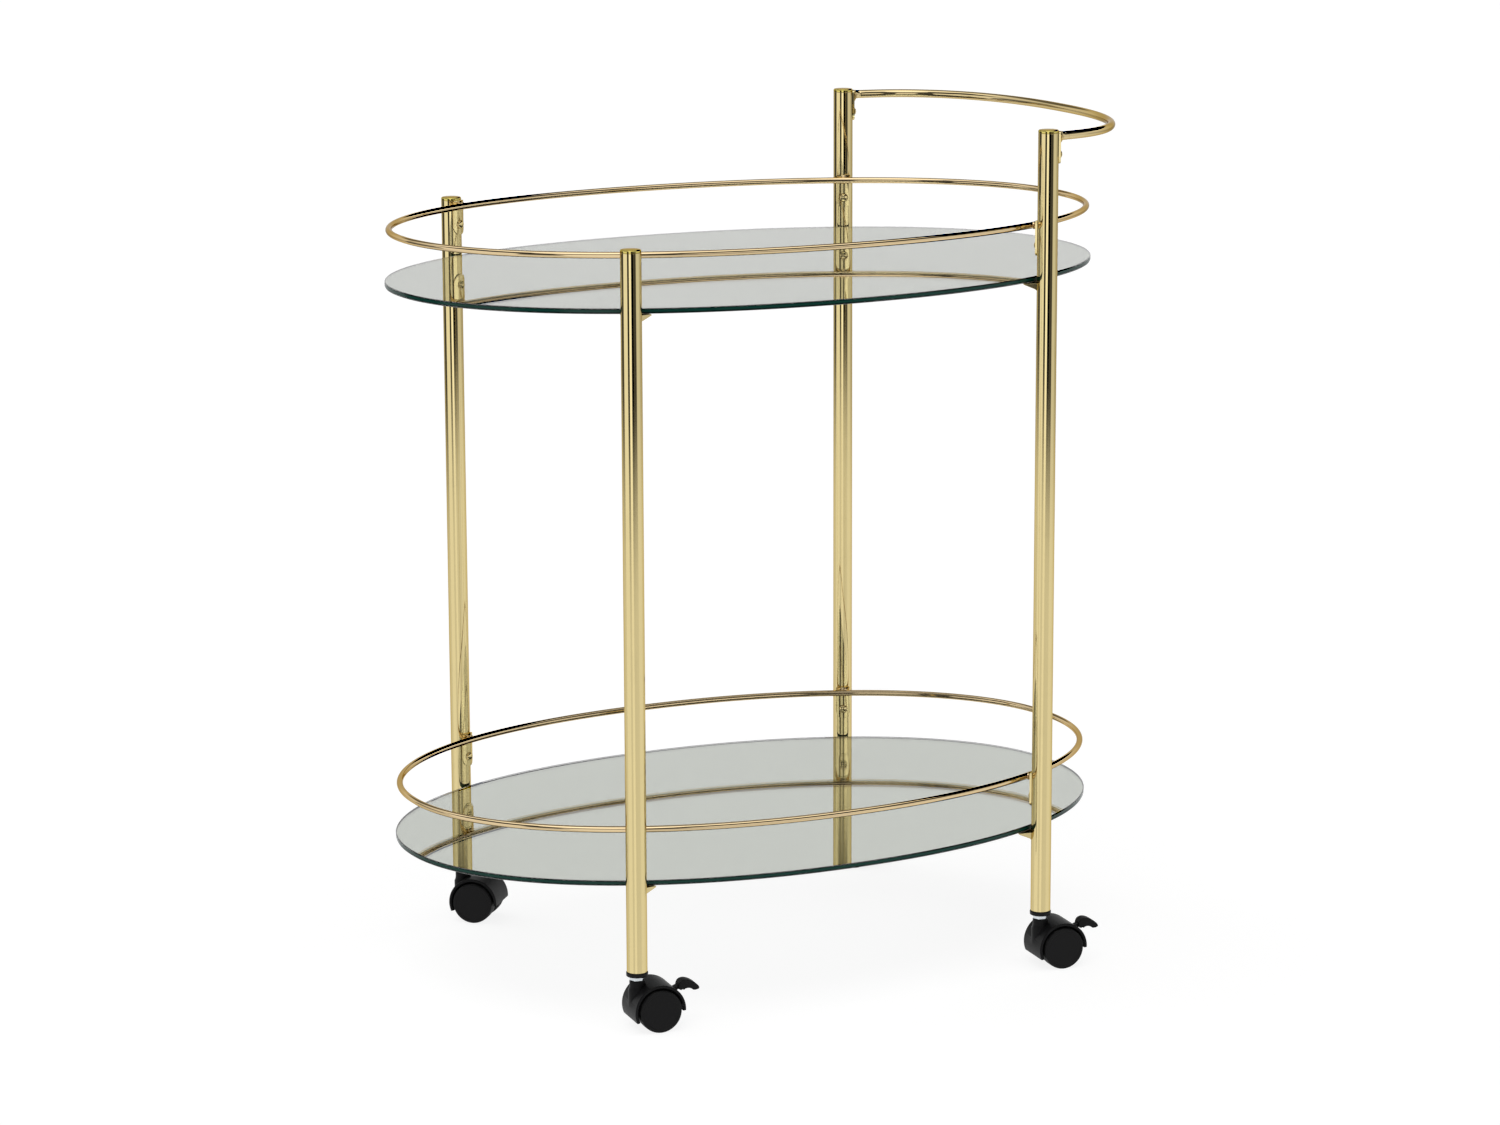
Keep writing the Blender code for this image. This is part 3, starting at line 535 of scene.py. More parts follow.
for level in ("lower", "upper"):
    half_length, half_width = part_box(f"{level}_shelf")[1].xy
    wire_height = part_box(f"{level}_rail")[1].z - RAIL_TAB_RISE
    frames = []
    for index in range(RAIL_STEPS):
        point, normal = oval(half_length, half_width, SQUARENESS, 2 * math.pi * index / RAIL_STEPS)
        frames.append(wire_frame(point - normal * RAIL_INSET + Vector((0, 0, wire_height)), normal))
    parts = [drawn_wire(frames, RAIL_WIRE, 24, True)]
    for count, corner in enumerate(CORNERS):
        axis, radius = post_axis(corner)
        facing = rim_facing(axis, half_length, half_width)
        stand = Matrix.Translation(axis + Vector((0, 0, wire_height))) @ Matrix.Rotation(facing, 4, "Z")
        gap = min((station.translation.xy - axis.xy).length for station in frames)
        parts.append(moved(curved_tab(radius + TAB_PLAY, RAIL_TAB_RISE, RAIL_TAB_DROP), stand))
        face, wide = radius + TAB_THICKNESS, NECK_RADIUS * NECK_FLARE
        neck = spun([(0, radius), (wide, radius), (wide, face), (NECK_RADIUS, face + NECK_FLARE_RUN),
                     (NECK_RADIUS, gap), (0, gap)], 32)
        parts.append(moved(neck, stand @ ALONG_X))
        parts.append(weld_bead(stand @ Matrix.Translation((face + 0.0003, 0, 0)), *NECK_FOOT_BEAD, count))
        parts.append(weld_bead(stand @ Matrix.Translation((gap - 0.0022, 0, 0)), *NECK_WIRE_BEAD, count + 9))
    piece(f"{level}_gallery_rail", together(*parts), [RAIL_BRASS, POST_BRASS], "cart", "rail_brass", f"{level}_rail")


# ------------------------------------------------------------------ push handle
# A bow of 8 mm round wire runs level from one tall post to the other, outside the end of the shelf. Each
# end flares into a curved tab like the rails' tabs, screwed to the side of its post.

HANDLE_WIRE = 0.004
HANDLE_REACH = 0.1334
HANDLE_SQUARENESS = 2.3
HANDLE_TAB_RISE = 0.0043
HANDLE_TAB_DROP = 0.0255
HANDLE_BEAD = (0.0062, 0.3)
FLARE = 1.42
FLARE_RUN = 0.005
# The straight stub's end, and its steps from the tab, as shares of the tab's distance from the post's axis.
STUB_END = 1.7
STUB_STEPS = [1.0 + 0.1 * index for index in range(7)]

HANDLE_BRASS = polished_brass("handle_brass_plating", (0.62, 0.495, 0.265), 0.03)

axis, radius = post_axis("far_right")
handle_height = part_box("push_handle")[1].z - HANDLE_TAB_RISE
start = radius + TAB_THICKNESS
limit = math.acos((STUB_END * start / HANDLE_REACH) ** (HANDLE_SQUARENESS / 2))
path = [Vector((axis.x + start * share, -axis.y, handle_height)) for share in STUB_STEPS]
for index in range(129):
    point, _ = oval(HANDLE_REACH, axis.y, HANDLE_SQUARENESS, limit * (index / 64 - 1))
    path.append(point + Vector((axis.x, 0, handle_height)))
path += [Vector((point.x, -point.y, point.z)) for point in path[:len(STUB_STEPS)][::-1]]
frames = []
for index, point in enumerate(path):
    along = (path[min(index + 1, len(path) - 1)] - path[max(index - 1, 0)]).normalized()
    run = point.x - axis.x - start
    swell = 1 + (FLARE - 1) * max(0.0, 1 - run / FLARE_RUN) ** 2
    frames.append(wire_frame(point, Vector((along.y, -along.x, 0)), swell))
parts = [drawn_wire(frames, HANDLE_WIRE, 32, False)]
for count, corner in enumerate(("near_right", "far_right")):
    stand = Matrix.Translation(post_axis(corner)[0] + Vector((0, 0, handle_height)))
    parts.append(moved(curved_tab(radius + TAB_PLAY, HANDLE_TAB_RISE, HANDLE_TAB_DROP), stand))
    parts.append(weld_bead(stand @ Matrix.Translation((start + 0.0002, 0, -0.0004)), *HANDLE_BEAD, count + 20))
handle = together(*parts)
# Nothing of the handle stands higher than its tabs do.
for vert in handle.verts:
    vert.co.z = min(vert.co.z, handle_height + HANDLE_TAB_RISE)
piece("bow_handle", handle, [HANDLE_BRASS, POST_BRASS], "cart", "rail_brass", "push_handle")


# ------------------------------------------------------------------ screws
# Plated screws with low domed heads hold the tabs to the posts, one below each wire. The head stands on a
# thin flange, and the shank goes through the tab into the tube.

HEAD_RADIUS = 0.0043
HEAD_HEIGHT = 0.0024
DOME_SHARE = 0.86
FLANGE = 0.0005
SHANK_RADIUS = 0.002
SHANK_PAST_WALL = 0.002

SCREW_BRASS = polished_brass("screw_brass_plating", (0.70, 0.575, 0.29), 0.07)


def domed_screw(seat, reach):
    """A screw along X whose head sits at one distance from the post's axis and whose tip is at another."""
    dome = [(DOME_SHARE * HEAD_RADIUS * math.sin(turn), seat + FLANGE + (HEAD_HEIGHT - FLANGE) * math.cos(turn))
            for turn in (math.pi / 2 * index / 10 for index in range(11))]
    shape = spun(dome + [
        (HEAD_RADIUS - 0.0001, seat + FLANGE), (HEAD_RADIUS, seat + FLANGE / 2), (HEAD_RADIUS, seat),
        (SHANK_RADIUS, seat), (SHANK_RADIUS, reach), (0, reach),
    ], 48)
    return moved(shape, ALONG_X)


for corner in CORNERS:
    axis, radius = post_axis(corner)
    facing = rim_facing(axis, *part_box("upper_shelf")[1].xy)
    places = [(f"{level}_rail_screw_{corner}", facing) for level in ("lower", "upper")]
    if f"handle_screw_{corner}" in frame["nodes"]:
        places.append((f"handle_screw_{corner}", 0.0))
    for node, turn in places:
        low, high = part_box(node)
        stand = Matrix.Translation(axis + Vector((0, 0, (low.z + high.z) / 2))) @ Matrix.Rotation(turn, 4, "Z")
        screw = domed_screw(radius + TAB_THICKNESS + TAB_PLAY, radius - TUBE_WALL - SHANK_PAST_WALL)
        piece(f"domed_{node}", moved(screw, stand), [SCREW_BRASS], "cart", "screw_brass", node)


# ------------------------------------------------------------------ end plugs
# A black plastic plug is pushed into the foot of each tube to take the caster's stem. Its collar closes the
# tube's end and stands a little proud of it all round.

STEM_BORE = 0.0043
END_GAP = 0.0003

moulded = Finish(bpy.data.materials.new("plug_black_plastic"))
spark = moulded.grain(2400.0, 2.0)
scuffs = moulded.step(moulded.grain(140.0, 3.0, (1.0, 1.0, 3.0)), 0.56, 0.72)
PLUG_PLASTIC = moulded.surface({
    "Base Color": moulded.blend(scuffs, (0.006, 0.006, 0.0065), (0.014, 0.014, 0.014)),
    "Specular IOR Level": 0.12,
    "Roughness": 0.36 + scuffs * 0.2 + spark * 0.06,
    "Normal": moulded.dents(spark, 0.00002, 0.5),
})

for corner in CORNERS:
    axis, radius = post_axis(corner)
    low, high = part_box(f"plug_{corner}")
    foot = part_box(f"post_{corner}")[0].z - END_GAP
    collar, sleeve = high.x - axis.x, radius - TUBE_WALL - TUBE_PLAY
    plug = spun([
        (STEM_BORE, high.z), (sleeve, high.z), (sleeve, foot), (collar, foot), (collar, low.z), (STEM_BORE, low.z),
        (STEM_BORE, high.z),
    ], 96)
    plug = moved(eased(plug, 0.0008, 3), Matrix.Translation(axis))
    piece(f"end_plug_{corner}", plug, [PLUG_PLASTIC], "cart", "plug_plastic", f"plug_{corner}")


# ------------------------------------------------------------------ caster stems
# Each caster hangs on a zinc-plated steel stem. A six-sided collar forged on the stem bears against the
# plug, and the stem goes on down into the caster's boss, where it turns.

STEM_RADIUS = 0.004
STEM_SLOPE = 0.0005
NUT_HEIGHT = 0.0035
NUT_TURN = math.radians(18)

zinc = Finish(bpy.data.materials.new("bright_zinc"))
spangle = zinc.grain(700.0, 3.0)
haze = zinc.grain(90.0, 3.0)
BRIGHT_ZINC = zinc.surface({
    "Base Color": zinc.blend(haze, (0.74, 0.79, 0.84), (0.62, 0.65, 0.66)),
    "Metallic": 1.0,
    "Roughness": 0.13 + haze * 0.16 + spangle * 0.06,
    "Normal": zinc.dents(spangle, 0.00001, 0.4),
})

for corner in CORNERS:
    axis = post_axis(corner)[0]
    low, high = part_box(f"caster_stem_{corner}")
    nut_radius = high.x - axis.x
    nut_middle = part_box(f"plug_{corner}")[0].z - END_GAP - NUT_HEIGHT / 2
    shank = spun([(0, high.z), (STEM_RADIUS - STEM_SLOPE, high.z), (STEM_RADIUS, high.z - STEM_SLOPE),
                  (STEM_RADIUS, low.z), (0, low.z)], 48)
    hexagon = bmesh.new()
    bmesh.ops.create_cone(hexagon, cap_ends=True, segments=6, radius1=nut_radius, radius2=nut_radius,
                          depth=NUT_HEIGHT,
                          matrix=Matrix.Translation((0, 0, nut_middle)) @ Matrix.Rotation(NUT_TURN, 4, "Z"))
    stem = moved(together(shank, eased(hexagon, 0.0004, 2)), Matrix.Translation(axis))
    piece(f"stem_and_nut_{corner}", stem, [BRIGHT_ZINC], "cart", "zinc", f"caster_stem_{corner}")


# ------------------------------------------------------------------ caster bodies
# The body is one moulding of black plastic: a web between the two wheels, a hood that covers their upper
# halves, and a round boss for the stem. Its outer skin has a fine spark-eroded grain.

HOOD_RADIUS = 0.0245
HOOD_HALF_WIDTH = 0.0195
HOOD_WEB = 0.011
HOOD_ROUND = 0.0009
HOOD_FRONT_DROP = 0.0095
HOOD_BACK_DROP = 0.001
WHEEL_ROOM = 0.0216
WHEEL_ROOM_SLOPE = 0.0012
BOSS_RADIUS = 0.00725
BOSS_TOP = 0.0466
BOSS_SPREAD = 0.0012
STEM_BORE_DEPTH = 0.016
AXLE_BORE = 0.0023
# The brake lever's slot: its half width, the room round the hub, and the angles it leaves open.
SLOT_HALF_WIDTH = 0.0034
SLOT_ROOM = 0.0036
SLOT_LOW = math.radians(-6)
SLOT_HIGH = math.radians(52)
PIN_RADIUS = 0.0015
PAST_WEB = 0.012
ACROSS = Matrix.Rotation(-math.pi / 2, 4, "X")
UPRIGHT = Matrix(((1, 0, 0, 0), (0, 0, -1, 0), (0, 1, 0, 0), (0, 0, 0, 1)))


def grained_plastic(name, dark, light, gloss):
    """Black moulded plastic: a fine grain, a cloudy gloss, a little dust and pale rubbed patches."""
    plastic = Finish(bpy.data.materials.new(name))
    grain = plastic.grain(3200.0, 2.0)
    cloud = plastic.grain(120.0, 3.0)
    rubbed = plastic.step(plastic.grain(210.0, 4.0, distortion=0.6), 0.60, 0.76)
    return plastic.surface({
        "Base Color": plastic.blend(rubbed * 0.6 + cloud * 0.3, dark, light),
        "Specular IOR Level": 0.08,
        "Roughness": gloss + cloud * 0.10 + rubbed * 0.08,
        "Normal": plastic.dents(grain, 0.00003, 0.6),
    })


HOOD_PLASTIC = grained_plastic("hood_black_plastic", (0.0062, 0.0062, 0.0066), (0.012, 0.012, 0.0125), 0.36)


def swivel_frame(corner):
    """The caster's own frame: the stem's axis is Z, and the axle lies along Y at the trail behind it."""
    joints = {joint["name"]: joint for joint in frame["joints"]}
    swivel, spin = joints[f"swivel_{corner}"], joints[f"spin_a_{corner}"]
    foot = Vector((*swivel["pos_m"][:2], 0))
    heading = math.atan2(-spin["axis"][0], spin["axis"][1])
    trail = (Vector(spin["pos_m"]).xy - foot.xy).length
    return Matrix.Translation(foot) @ Matrix.Rotation(heading, 4, "Z"), trail, spin["pos_m"][2]


def carved(base, *cuts):
    """Cuts shapes out of a base shape, or joins them to it, and gives the result."""
    scratch = []
    for index, shape in enumerate([base] + [cut for _, cut in cuts]):
        mesh = bpy.data.meshes.new(f"carving_{index}")
        shape.to_mesh(mesh)
        shape.free()
        scratch.append(bpy.data.objects.new(f"carving_{index}", mesh))
        bpy.context.scene.collection.objects.link(scratch[-1])
    for (operation, _), cutter in zip(cuts, scratch[1:]):
        modifier = scratch[0].modifiers.new(cutter.name, "BOOLEAN")
        modifier.operation, modifier.solver, modifier.object = operation, "EXACT", cutter
    bpy.context.view_layer.update()
    done = bmesh.new()
    done.from_object(scratch[0], bpy.context.evaluated_depsgraph_get())
    for made in scratch:
        mesh = made.data
        bpy.data.objects.remove(made)
        bpy.data.meshes.remove(mesh)
    bmesh.ops.remove_doubles(done, verts=done.verts, dist=1e-6)
    return done


def block(low, high):
    """A straight-sided block between two corners."""
    shape = bmesh.new()
    size, middle = Vector(high) - Vector(low), (Vector(high) + Vector(low)) / 2
    bmesh.ops.create_cube(shape, size=1, matrix=Matrix.Translation(middle) @ Matrix.Diagonal((*size, 1)))
    return shape


def rod(radius, half, place):
    """A round rod along its own Z axis."""
    return moved(spun([(0, half), (radius, half), (radius, -half), (0, -half)], 48), place)


def slab(outline, width):
    """A filled outline in the XY plane with its width centred on Z."""
    shape = bmesh.new()
    face = shape.faces.new([shape.verts.new((x, y, -width / 2)) for x, y in outline])
    made = bmesh.ops.extrude_face_region(shape, geom=[face])["geom"]
    raised = [item for item in made if isinstance(item, bmesh.types.BMVert)]
    bmesh.ops.translate(shape, verts=raised, vec=(0, 0, width))
    bmesh.ops.recalc_face_normals(shape, faces=shape.faces)
    return shape


def hood(trail, height, lever):
    """A caster's body in its own frame. If it carries a lever, it has a slot at the lever's place."""
    axle = Matrix.Translation((trail, 0, height))
    round_from, half = HOOD_RADIUS - HOOD_ROUND, HOOD_HALF_WIDTH
    lip = [(round_from + HOOD_ROUND * math.sin(turn), half - HOOD_ROUND + HOOD_ROUND * math.cos(turn))
           for turn in (math.radians(angle) for angle in (0, 22, 45, 68, 90))]
    other_lip = [(radius, -z) for radius, z in lip[::-1]]
    drum = moved(spun([(0, half)] + lip + other_lip + [(0, -half)], 144), axle @ ACROSS)
    boss = spun([
        (0, BOSS_TOP), (BOSS_RADIUS - 0.0007, BOSS_TOP), (BOSS_RADIUS - 0.0002, BOSS_TOP - 0.0002),
        (BOSS_RADIUS, BOSS_TOP - 0.0007), (BOSS_RADIUS, 0.0415), (BOSS_RADIUS + 0.0003, 0.0395),
        (BOSS_RADIUS + BOSS_SPREAD, 0.0375), (BOSS_RADIUS + BOSS_SPREAD, height), (0, height),
    ], 72)
    cuts = [("UNION", boss)]
    for turned in (ACROSS.inverted(), ACROSS):
        room = spun([
            (0, HOOD_WEB / 2), (WHEEL_ROOM, HOOD_WEB / 2), (WHEEL_ROOM, half - 0.0008),
            (WHEEL_ROOM + WHEEL_ROOM_SLOPE, half + 0.0004), (WHEEL_ROOM + WHEEL_ROOM_SLOPE, 2 * half), (0, 2 * half),
        ], 144)
        cuts.append(("DIFFERENCE", moved(room, axle @ turned)))
    slope = math.atan2(HOOD_FRONT_DROP - HOOD_BACK_DROP, 2 * HOOD_RADIUS)
    below = block((-0.06, -0.05, -0.06), (0.06, 0.05, 0))
    tilt = Matrix.Translation((0, 0, -(HOOD_FRONT_DROP + HOOD_BACK_DROP) / 2)) @ Matrix.Rotation(-slope, 4, "Y")
    cuts.append(("DIFFERENCE", moved(below, axle @ tilt)))
    bore = Matrix.Translation((0, 0, BOSS_TOP - STEM_BORE_DEPTH / 2 + 0.0001))
    cuts.append(("DIFFERENCE", rod(STEM_BORE, STEM_BORE_DEPTH / 2, bore)))
    cuts.append(("DIFFERENCE", rod(AXLE_BORE, PAST_WEB, axle @ ACROSS)))
    if lever is not None:
        reach = 2 * HOOD_RADIUS
        far = [(reach * math.cos(angle), reach * math.sin(angle)) for angle in (SLOT_LOW, SLOT_HIGH)]
        slot = slab([(0, -SLOT_ROOM)] + far + [(-SLOT_ROOM, 0)], 2 * SLOT_HALF_WIDTH)
        cuts.append(("DIFFERENCE", moved(slot, lever @ UPRIGHT)))
        cuts.append(("DIFFERENCE", rod(SLOT_ROOM, SLOT_HALF_WIDTH, lever @ ACROSS)))
        cuts.append(("DIFFERENCE", rod(PIN_RADIUS, PAST_WEB, lever @ ACROSS)))
    return carved(drum, *cuts)


def lever_frame(corner, swivel):
    """The place of a brake lever's pin in the caster's own frame, or None where there is no brake."""
    joints = {joint["name"]: joint for joint in frame["joints"]}
    if f"brake_{corner}" not in joints:
        return None
    return Matrix.Translation(swivel.inverted() @ Vector(joints[f"brake_{corner}"]["pos_m"]))


for corner in CORNERS:
    swivel, trail, height = swivel_frame(corner)
    body = hood(trail, height, lever_frame(corner, swivel))
    piece(f"hood_{corner}", moved(body, swivel), [HOOD_PLASTIC], f"caster_{corner}", "hood_plastic",
          f"caster_hood_{corner}")
    frame["nodes"][f"caster_axle_{corner}"].data.materials.clear()
    frame["nodes"][f"caster_axle_{corner}"].data.materials.append(BRIGHT_ZINC)


# ------------------------------------------------------------------ caster wheels
# Twin wheels of hard black nylon, closed and flat on their outer faces, with a softened corner and a
# slightly crowned tread. The tread is scuffed dull where it has rolled.

WHEEL_RADIUS = 0.020
WHEEL_WIDTH = 0.0148
WHEEL_START = 0.0062
WHEEL_DISH = 0.0003
CROWN = 0.0002
FACE_ROUND = 0.0013
HUB_RECESS = 0.0012
HUB_BORE_DEPTH = 0.0104


def wheel_nylon(name, hub, spin_axis):
    """Nylon that is satin on the wheel's face and dull, with dust, on its tread."""
    nylon = Finish(bpy.data.materials.new(name))
    point = nylon.place()
    centre = nylon.node("ShaderNodeVectorMath", {"operation": "SUBTRACT"}, {0: point, 1: hub})
    along = nylon.node("ShaderNodeVectorMath", {"operation": "DOT_PRODUCT"}, {0: centre, 1: spin_axis}, "Value")
    far = nylon.node("ShaderNodeVectorMath", {"operation": "LENGTH"}, {0: centre}, "Value")
    across = (far * far - along * along).root()
    tread = nylon.step(across, WHEEL_RADIUS - 0.0008, WHEEL_RADIUS - 0.0001)
    rings = nylon.node("ShaderNodeMath", {"operation": "SINE"}, {0: across * 9000.0})
    speckle = nylon.grain(1500.0, 3.0)
    dust = nylon.step(nylon.grain(260.0, 3.0), 0.50, 0.72) * tread
    return nylon.surface({
        "Base Color": nylon.blend(dust * 0.7 + speckle * 0.15, (0.0060, 0.0060, 0.0064), (0.026, 0.025, 0.024)),
        "Specular IOR Level": 0.10,
        "Roughness": 0.33 + tread * 0.25 + speckle * 0.08,
        "Normal": nylon.dents(speckle * 0.8 + rings * 0.1, 0.00002, 0.4),
    })


for corner in CORNERS:
    swivel, trail, height = swivel_frame(corner)
    hub = swivel @ Vector((trail, 0, height))
    spin_axis = swivel.to_3x3() @ Vector((0, 1, 0))
    nylon = wheel_nylon(f"wheel_black_nylon_{corner}", hub, spin_axis)
    for side, name, turned in ((-1, "a", ACROSS.inverted()), (1, "b", ACROSS)):
        rim, dished = WHEEL_RADIUS - CROWN, WHEEL_WIDTH - WHEEL_DISH
        flat, start = rim - FACE_ROUND, WHEEL_WIDTH - FACE_ROUND
        outer = [(flat + FACE_ROUND * math.sin(turn), start + FACE_ROUND * math.cos(turn))
                 for turn in (math.radians(angle) for angle in (0, 18, 36, 54, 72, 90))]
        wheel = spun([(0, dished), (WHEEL_RADIUS - 0.0036, dished), (WHEEL_RADIUS - 0.0033, WHEEL_WIDTH)] + outer + [
            (WHEEL_RADIUS - CROWN / 4, WHEEL_WIDTH * 0.75), (WHEEL_RADIUS, WHEEL_WIDTH / 2),
            (WHEEL_RADIUS - CROWN / 4, WHEEL_WIDTH * 0.25), (rim, FACE_ROUND), (flat, 0),
            (0.0060, 0), (0.0055, HUB_RECESS), (AXLE_BORE, HUB_RECESS), (AXLE_BORE, HUB_BORE_DEPTH),
            (0, HUB_BORE_DEPTH),
        ], 144)
        place = swivel @ Matrix.Translation((trail, side * WHEEL_START, height)) @ turned
        piece(f"caster_wheel_{name}_{corner}", moved(wheel, place), [nylon], f"wheel_{name}_{corner}",
              "wheel_plastic", f"wheel_{name}_{corner}", crease=28)


# ------------------------------------------------------------------ brake levers
# The two near casters have a moulded foot lever that turns on a steel pin in the web. Its paddle is a
# leaf shape with two small notches beneath, and is moulded in one with the arm and the round hub.

# The paddle's outline from the pin: out towards the toe, and up.
PADDLE = (
    (0.0094, 0.0030), (0.0096, 0.0069), (0.0114, 0.0098), (0.0150, 0.0111), (0.0192, 0.0105),
    (0.0234, 0.0085), (0.0270, 0.0058), (0.0295, 0.0029), (0.0292, 0.0011), (0.0270, 0.0003),
    (0.0240, 0.0003), (0.0220, 0.0017), (0.0192, 0.0026), (0.0162, 0.0023), (0.0148, 0.0013),
    (0.0134, 0.0019), (0.0118, 0.0014),
)
PADDLE_WIDTH = 0.010
ARM_WIDTH = 0.006
ARM_HALF_HEIGHT = 0.0018
ARM_START = 0.0020
ARM_NECK = (0.0100, 0.0042)
HUB_RADIUS = 0.0032

BRAKE_PLASTIC = grained_plastic("brake_black_plastic", (0.0080, 0.0080, 0.0080), (0.020, 0.020, 0.020), 0.42)


def smooth_outline(points, fine):
    """A smooth closed curve through points, with so many steps between each pair."""
    made = []
    count = len(points)
    for index in range(count):
        before, start, end, after = (Vector(points[(index + step) % count]) for step in (-1, 0, 1, 2))
        for part in range(fine):
            t = part / fine
            made.append(0.5 * (2 * start + (end - before) * t + (2 * before - 5 * start + 4 * end - after) * t * t
                               + (3 * start - before - 3 * end + after) * t * t * t))
    return made


for corner in CORNERS:
    swivel = swivel_frame(corner)[0]
    pivot = lever_frame(corner, swivel)
    if pivot is None:
        continue
    paddle = moved(eased(slab(smooth_outline(PADDLE, 5), PADDLE_WIDTH), 0.0007, 3, 50), UPRIGHT)
    neck = Vector(ARM_NECK)
    half = Vector((-neck.y, neck.x)).normalized() * ARM_HALF_HEIGHT
    root = neck.normalized() * ARM_START
    arm = moved(slab([root - half, neck - half, neck + half, root + half], ARM_WIDTH), UPRIGHT)
    side = ARM_WIDTH / 2
    hub = spun([(PIN_RADIUS, side), (HUB_RADIUS, side), (HUB_RADIUS, -side), (PIN_RADIUS, -side),
                (PIN_RADIUS, side)], 48)
    lever = carved(arm, ("UNION", moved(hub, ACROSS)), ("UNION", paddle))
    piece(f"foot_lever_{corner}", moved(lever, swivel @ pivot), [BRAKE_PLASTIC], f"brake_{corner}",
          "brake_plastic", f"brake_lever_{corner}", crease=40)
    frame["nodes"][f"brake_pin_{corner}"].data.materials.clear()
    frame["nodes"][f"brake_pin_{corner}"].data.materials.append(BRIGHT_ZINC)


# ------------------------------------------------------------------ studio
# A pale floor in a plain studio. Pale panels and dark gaps stand round the cart, with a soft light high
# above and the dark upper walls of the room below it. The polished brass shows all of these as stripes.

CAMERA_YAW = 0.46703
CAMERA_PITCH = 0.21156
CAMERA_ROLL = -0.00347
CAMERA_PLACE = Vector((-1.8822, -3.7436, 1.27605))
LENS = 107.574
FLOOR_REACH = 60.0
FLOOR_FADE_START = 1.8
FLOOR_FADE_END = 3.6
REFLECTED_FLOOR_COVER = 0.82

studio = Finish(bpy.data.worlds.new("studio"))
bpy.context.scene.world = studio.owner
direction = studio.node("ShaderNodeTexCoord", {}, {}, "Generated")
aside = Vector((math.cos(CAMERA_YAW), -math.sin(CAMERA_YAW), 0))
behind = Vector((-math.sin(CAMERA_YAW), -math.cos(CAMERA_YAW), 0))
to_side = studio.node("ShaderNodeVectorMath", {"operation": "DOT_PRODUCT"}, {0: direction, 1: aside}, "Value")
to_back = studio.node("ShaderNodeVectorMath", {"operation": "DOT_PRODUCT"}, {0: direction, 1: behind}, "Value")
turn = studio.node("ShaderNodeMath", {"operation": "ARCTAN2"}, {0: to_side, 1: to_back})
rise = studio.node("ShaderNodeSeparateXYZ", {}, {"Vector": direction}, "Z")


def sector(low, high, soft=2.0):
    """1 between two directions, in degrees to the right of the camera's, and 0 elsewhere."""
    return turn.between(math.radians(low), math.radians(high), math.radians(soft))


def stripes(*bands):
    """Upright bands added up. Each has its two directions, the softness of its sides and its strength."""
    return sum(sector(low, high, soft) * strength for low, high, soft, strength in bands)


# Below the horizon are the panels and gaps that the near posts show.
panels = 0.65 + stripes((-90, -38, 4.0, 0.52), (-19, 4, 2.0, 0.80), (58, 97, 5.0, 0.22))
gaps = stripes((-124, -86, 2.0, 0.88), (-39, -20, 1.5, 0.96), (3, 25, 2.0, 1.0), (25, 56, 4.0, 0.88))
low_light = panels * (1 - gaps)
# Just above it in front, which the mirrored posts show, the stripes are other ones.
front = sector(-124, 130, 5.0) * (1 - studio.step(rise, 0.24, 0.28))
front_panels = stripes((21, 60, 3.0, 0.6), (-88, -40, 4.0, 0.2))
front_gaps = stripes((-122, -92, 2.0, 0.62), (-38, -22, 1.5, 0.9), (2, 17, 2.0, 0.9))
# Higher up are the dark walls, in front and at the back, and above them the soft light.
dark_walls = sector(-95, 165, 5.0) * rise.between(0.36, 0.80, 0.02)
dark_front = sector(-56, 66, 5.0) * rise.between(0.27, 0.36, 0.02)
dark_room = dark_walls + dark_front
dark_back = (1 - sector(-128, 128, 6.0)) * rise.between(0.40, 0.97, 0.04) * 0.8
dim_back = (1 - sector(-150, 150, 6.0)) * (1 - studio.step(rise, 0.30, 0.40)) * 0.12
overhead = (1 - dark_back) * (1 - dark_room) * rise.between(0.66, 1.2, 0.06) * 0.6
high_light = 1 - dark_room * 0.95 - dark_back - dim_back + front * (front_panels - front_gaps) + overhead
low_down = 1 - studio.step(rise, -0.03, 0.03)
light = high_light + (low_light - high_light) * low_down
sky = studio.node("ShaderNodeBackground", {}, {"Color": (1.0, 1.0, 1.0, 1.0), "Strength": light})
studio.node("ShaderNodeOutputWorld", {}, {"Surface": sky})


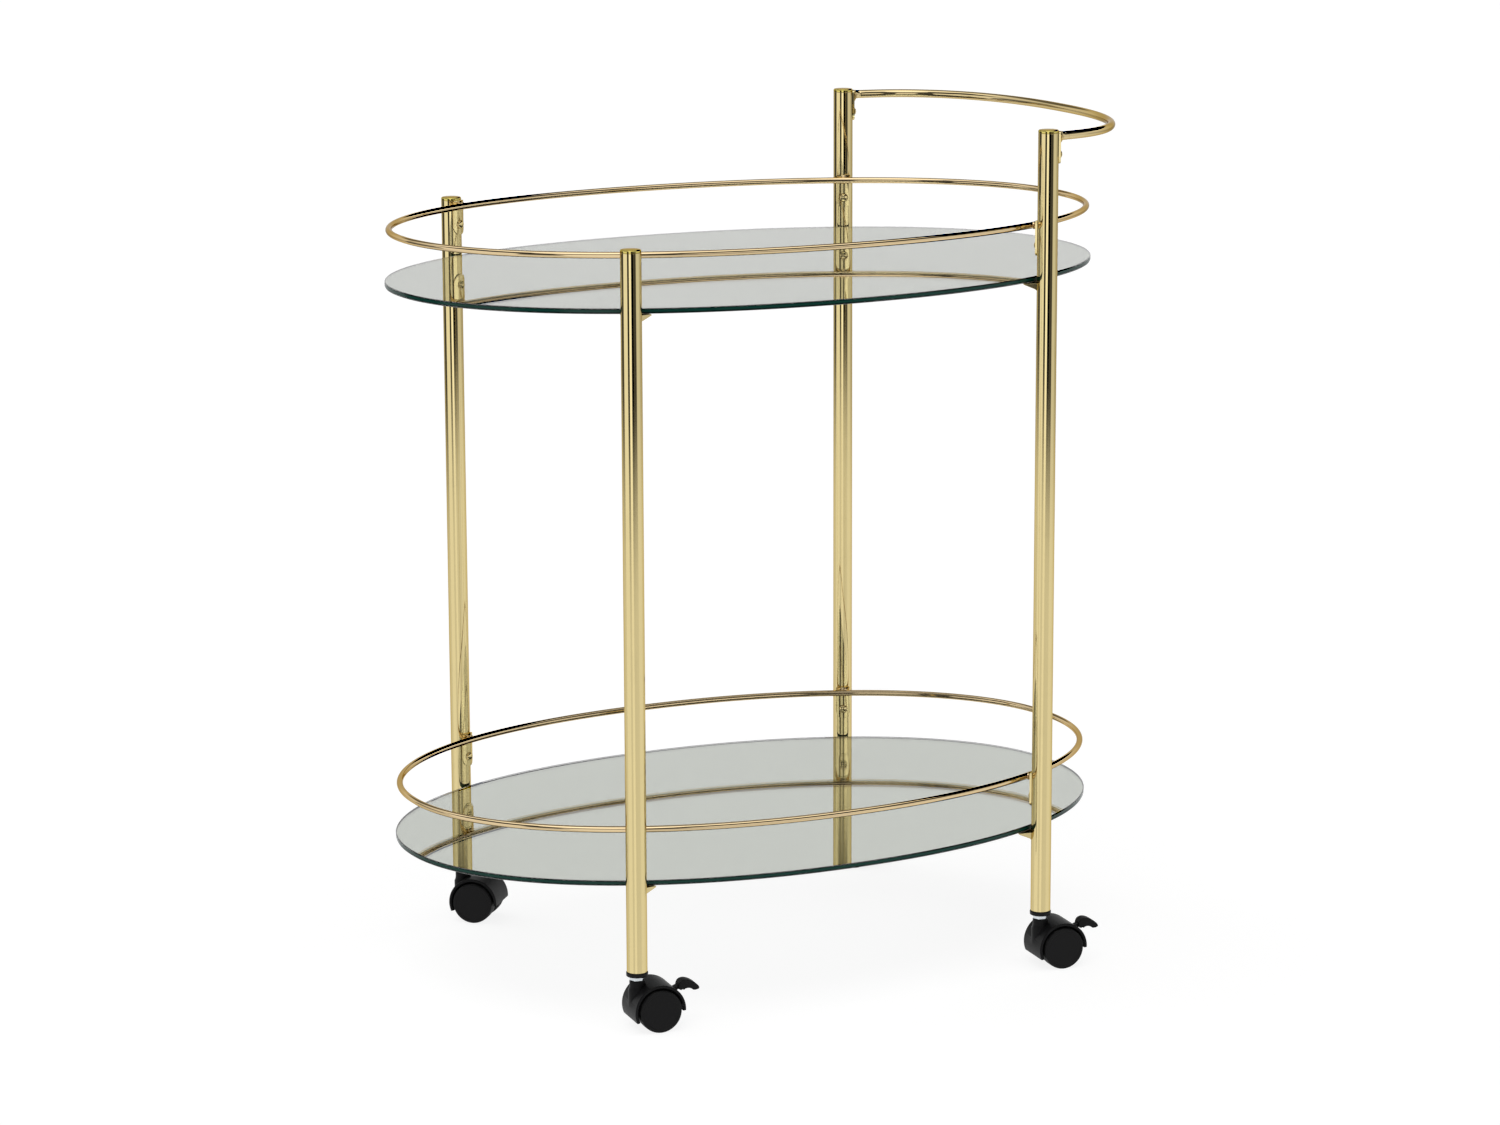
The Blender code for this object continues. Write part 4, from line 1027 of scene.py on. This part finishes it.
def floor_board(name, reach, cover):
    """A round floor. One that covers less than everything under it fades out towards its rim."""
    paint = Finish(bpy.data.materials.new(name))
    far = paint.node("ShaderNodeVectorMath", {"operation": "LENGTH"}, {0: paint.place()}, "Value")
    board = paint.surface({
        "Base Color": paint.blend(paint.grain(0.7, 2.0), (0.21, 0.21, 0.21), (0.23, 0.23, 0.23)),
        "Roughness": 0.9,
        "Specular IOR Level": 0.0,
        "Emission Color": (1.0, 1.0, 1.0, 1.0),
        "Emission Strength": 0.86,
        "Alpha": (1 - paint.step(far, FLOOR_FADE_START, FLOOR_FADE_END)) * cover if cover < 1 else 1.0,
    })
    shape = bmesh.new()
    bmesh.ops.create_circle(shape, cap_ends=True, segments=128, radius=reach)
    mesh = bpy.data.meshes.new(name)
    shape.to_mesh(mesh)
    shape.free()
    mesh.materials.append(board)
    ground = bpy.data.objects.new(name, mesh)
    bpy.context.scene.collection.objects.link(ground)
    return ground


# One floor is seen and lights the cart. The polished metal mirrors only the other, which fades out.
floor = floor_board("studio_floor", FLOOR_REACH, 1.0)
floor.visible_glossy = False
near_floor = floor_board("studio_floor_in_reflections", FLOOR_FADE_END, REFLECTED_FLOOR_COVER)
near_floor.visible_camera = near_floor.visible_diffuse = near_floor.visible_shadow = False

key = bpy.data.objects.new("soft_key", bpy.data.lights.new("soft_key", "SUN"))
bpy.context.scene.collection.objects.link(key)
key.data.energy = 0.35
key.data.angle = math.radians(40)
key.rotation_euler = (math.radians(38), math.radians(-14), math.radians(-20))

camera = bpy.data.objects.new("camera", bpy.data.cameras.new("camera"))
bpy.context.scene.collection.objects.link(camera)
camera.data.lens = LENS
camera.data.sensor_width = 36.0
ahead = -behind * math.cos(CAMERA_PITCH) - Vector((0, 0, math.sin(CAMERA_PITCH)))
above = aside.cross(ahead)
right = math.cos(CAMERA_ROLL) * aside + math.sin(CAMERA_ROLL) * above
up = math.cos(CAMERA_ROLL) * above - math.sin(CAMERA_ROLL) * aside
camera.matrix_world = Matrix.Translation(CAMERA_PLACE) @ Matrix((right, up, -ahead)).transposed().to_4x4()
camera.data.clip_start, camera.data.clip_end = 0.05, 200.0
bpy.context.scene.camera = camera
bpy.context.scene.view_settings.view_transform = "Standard"
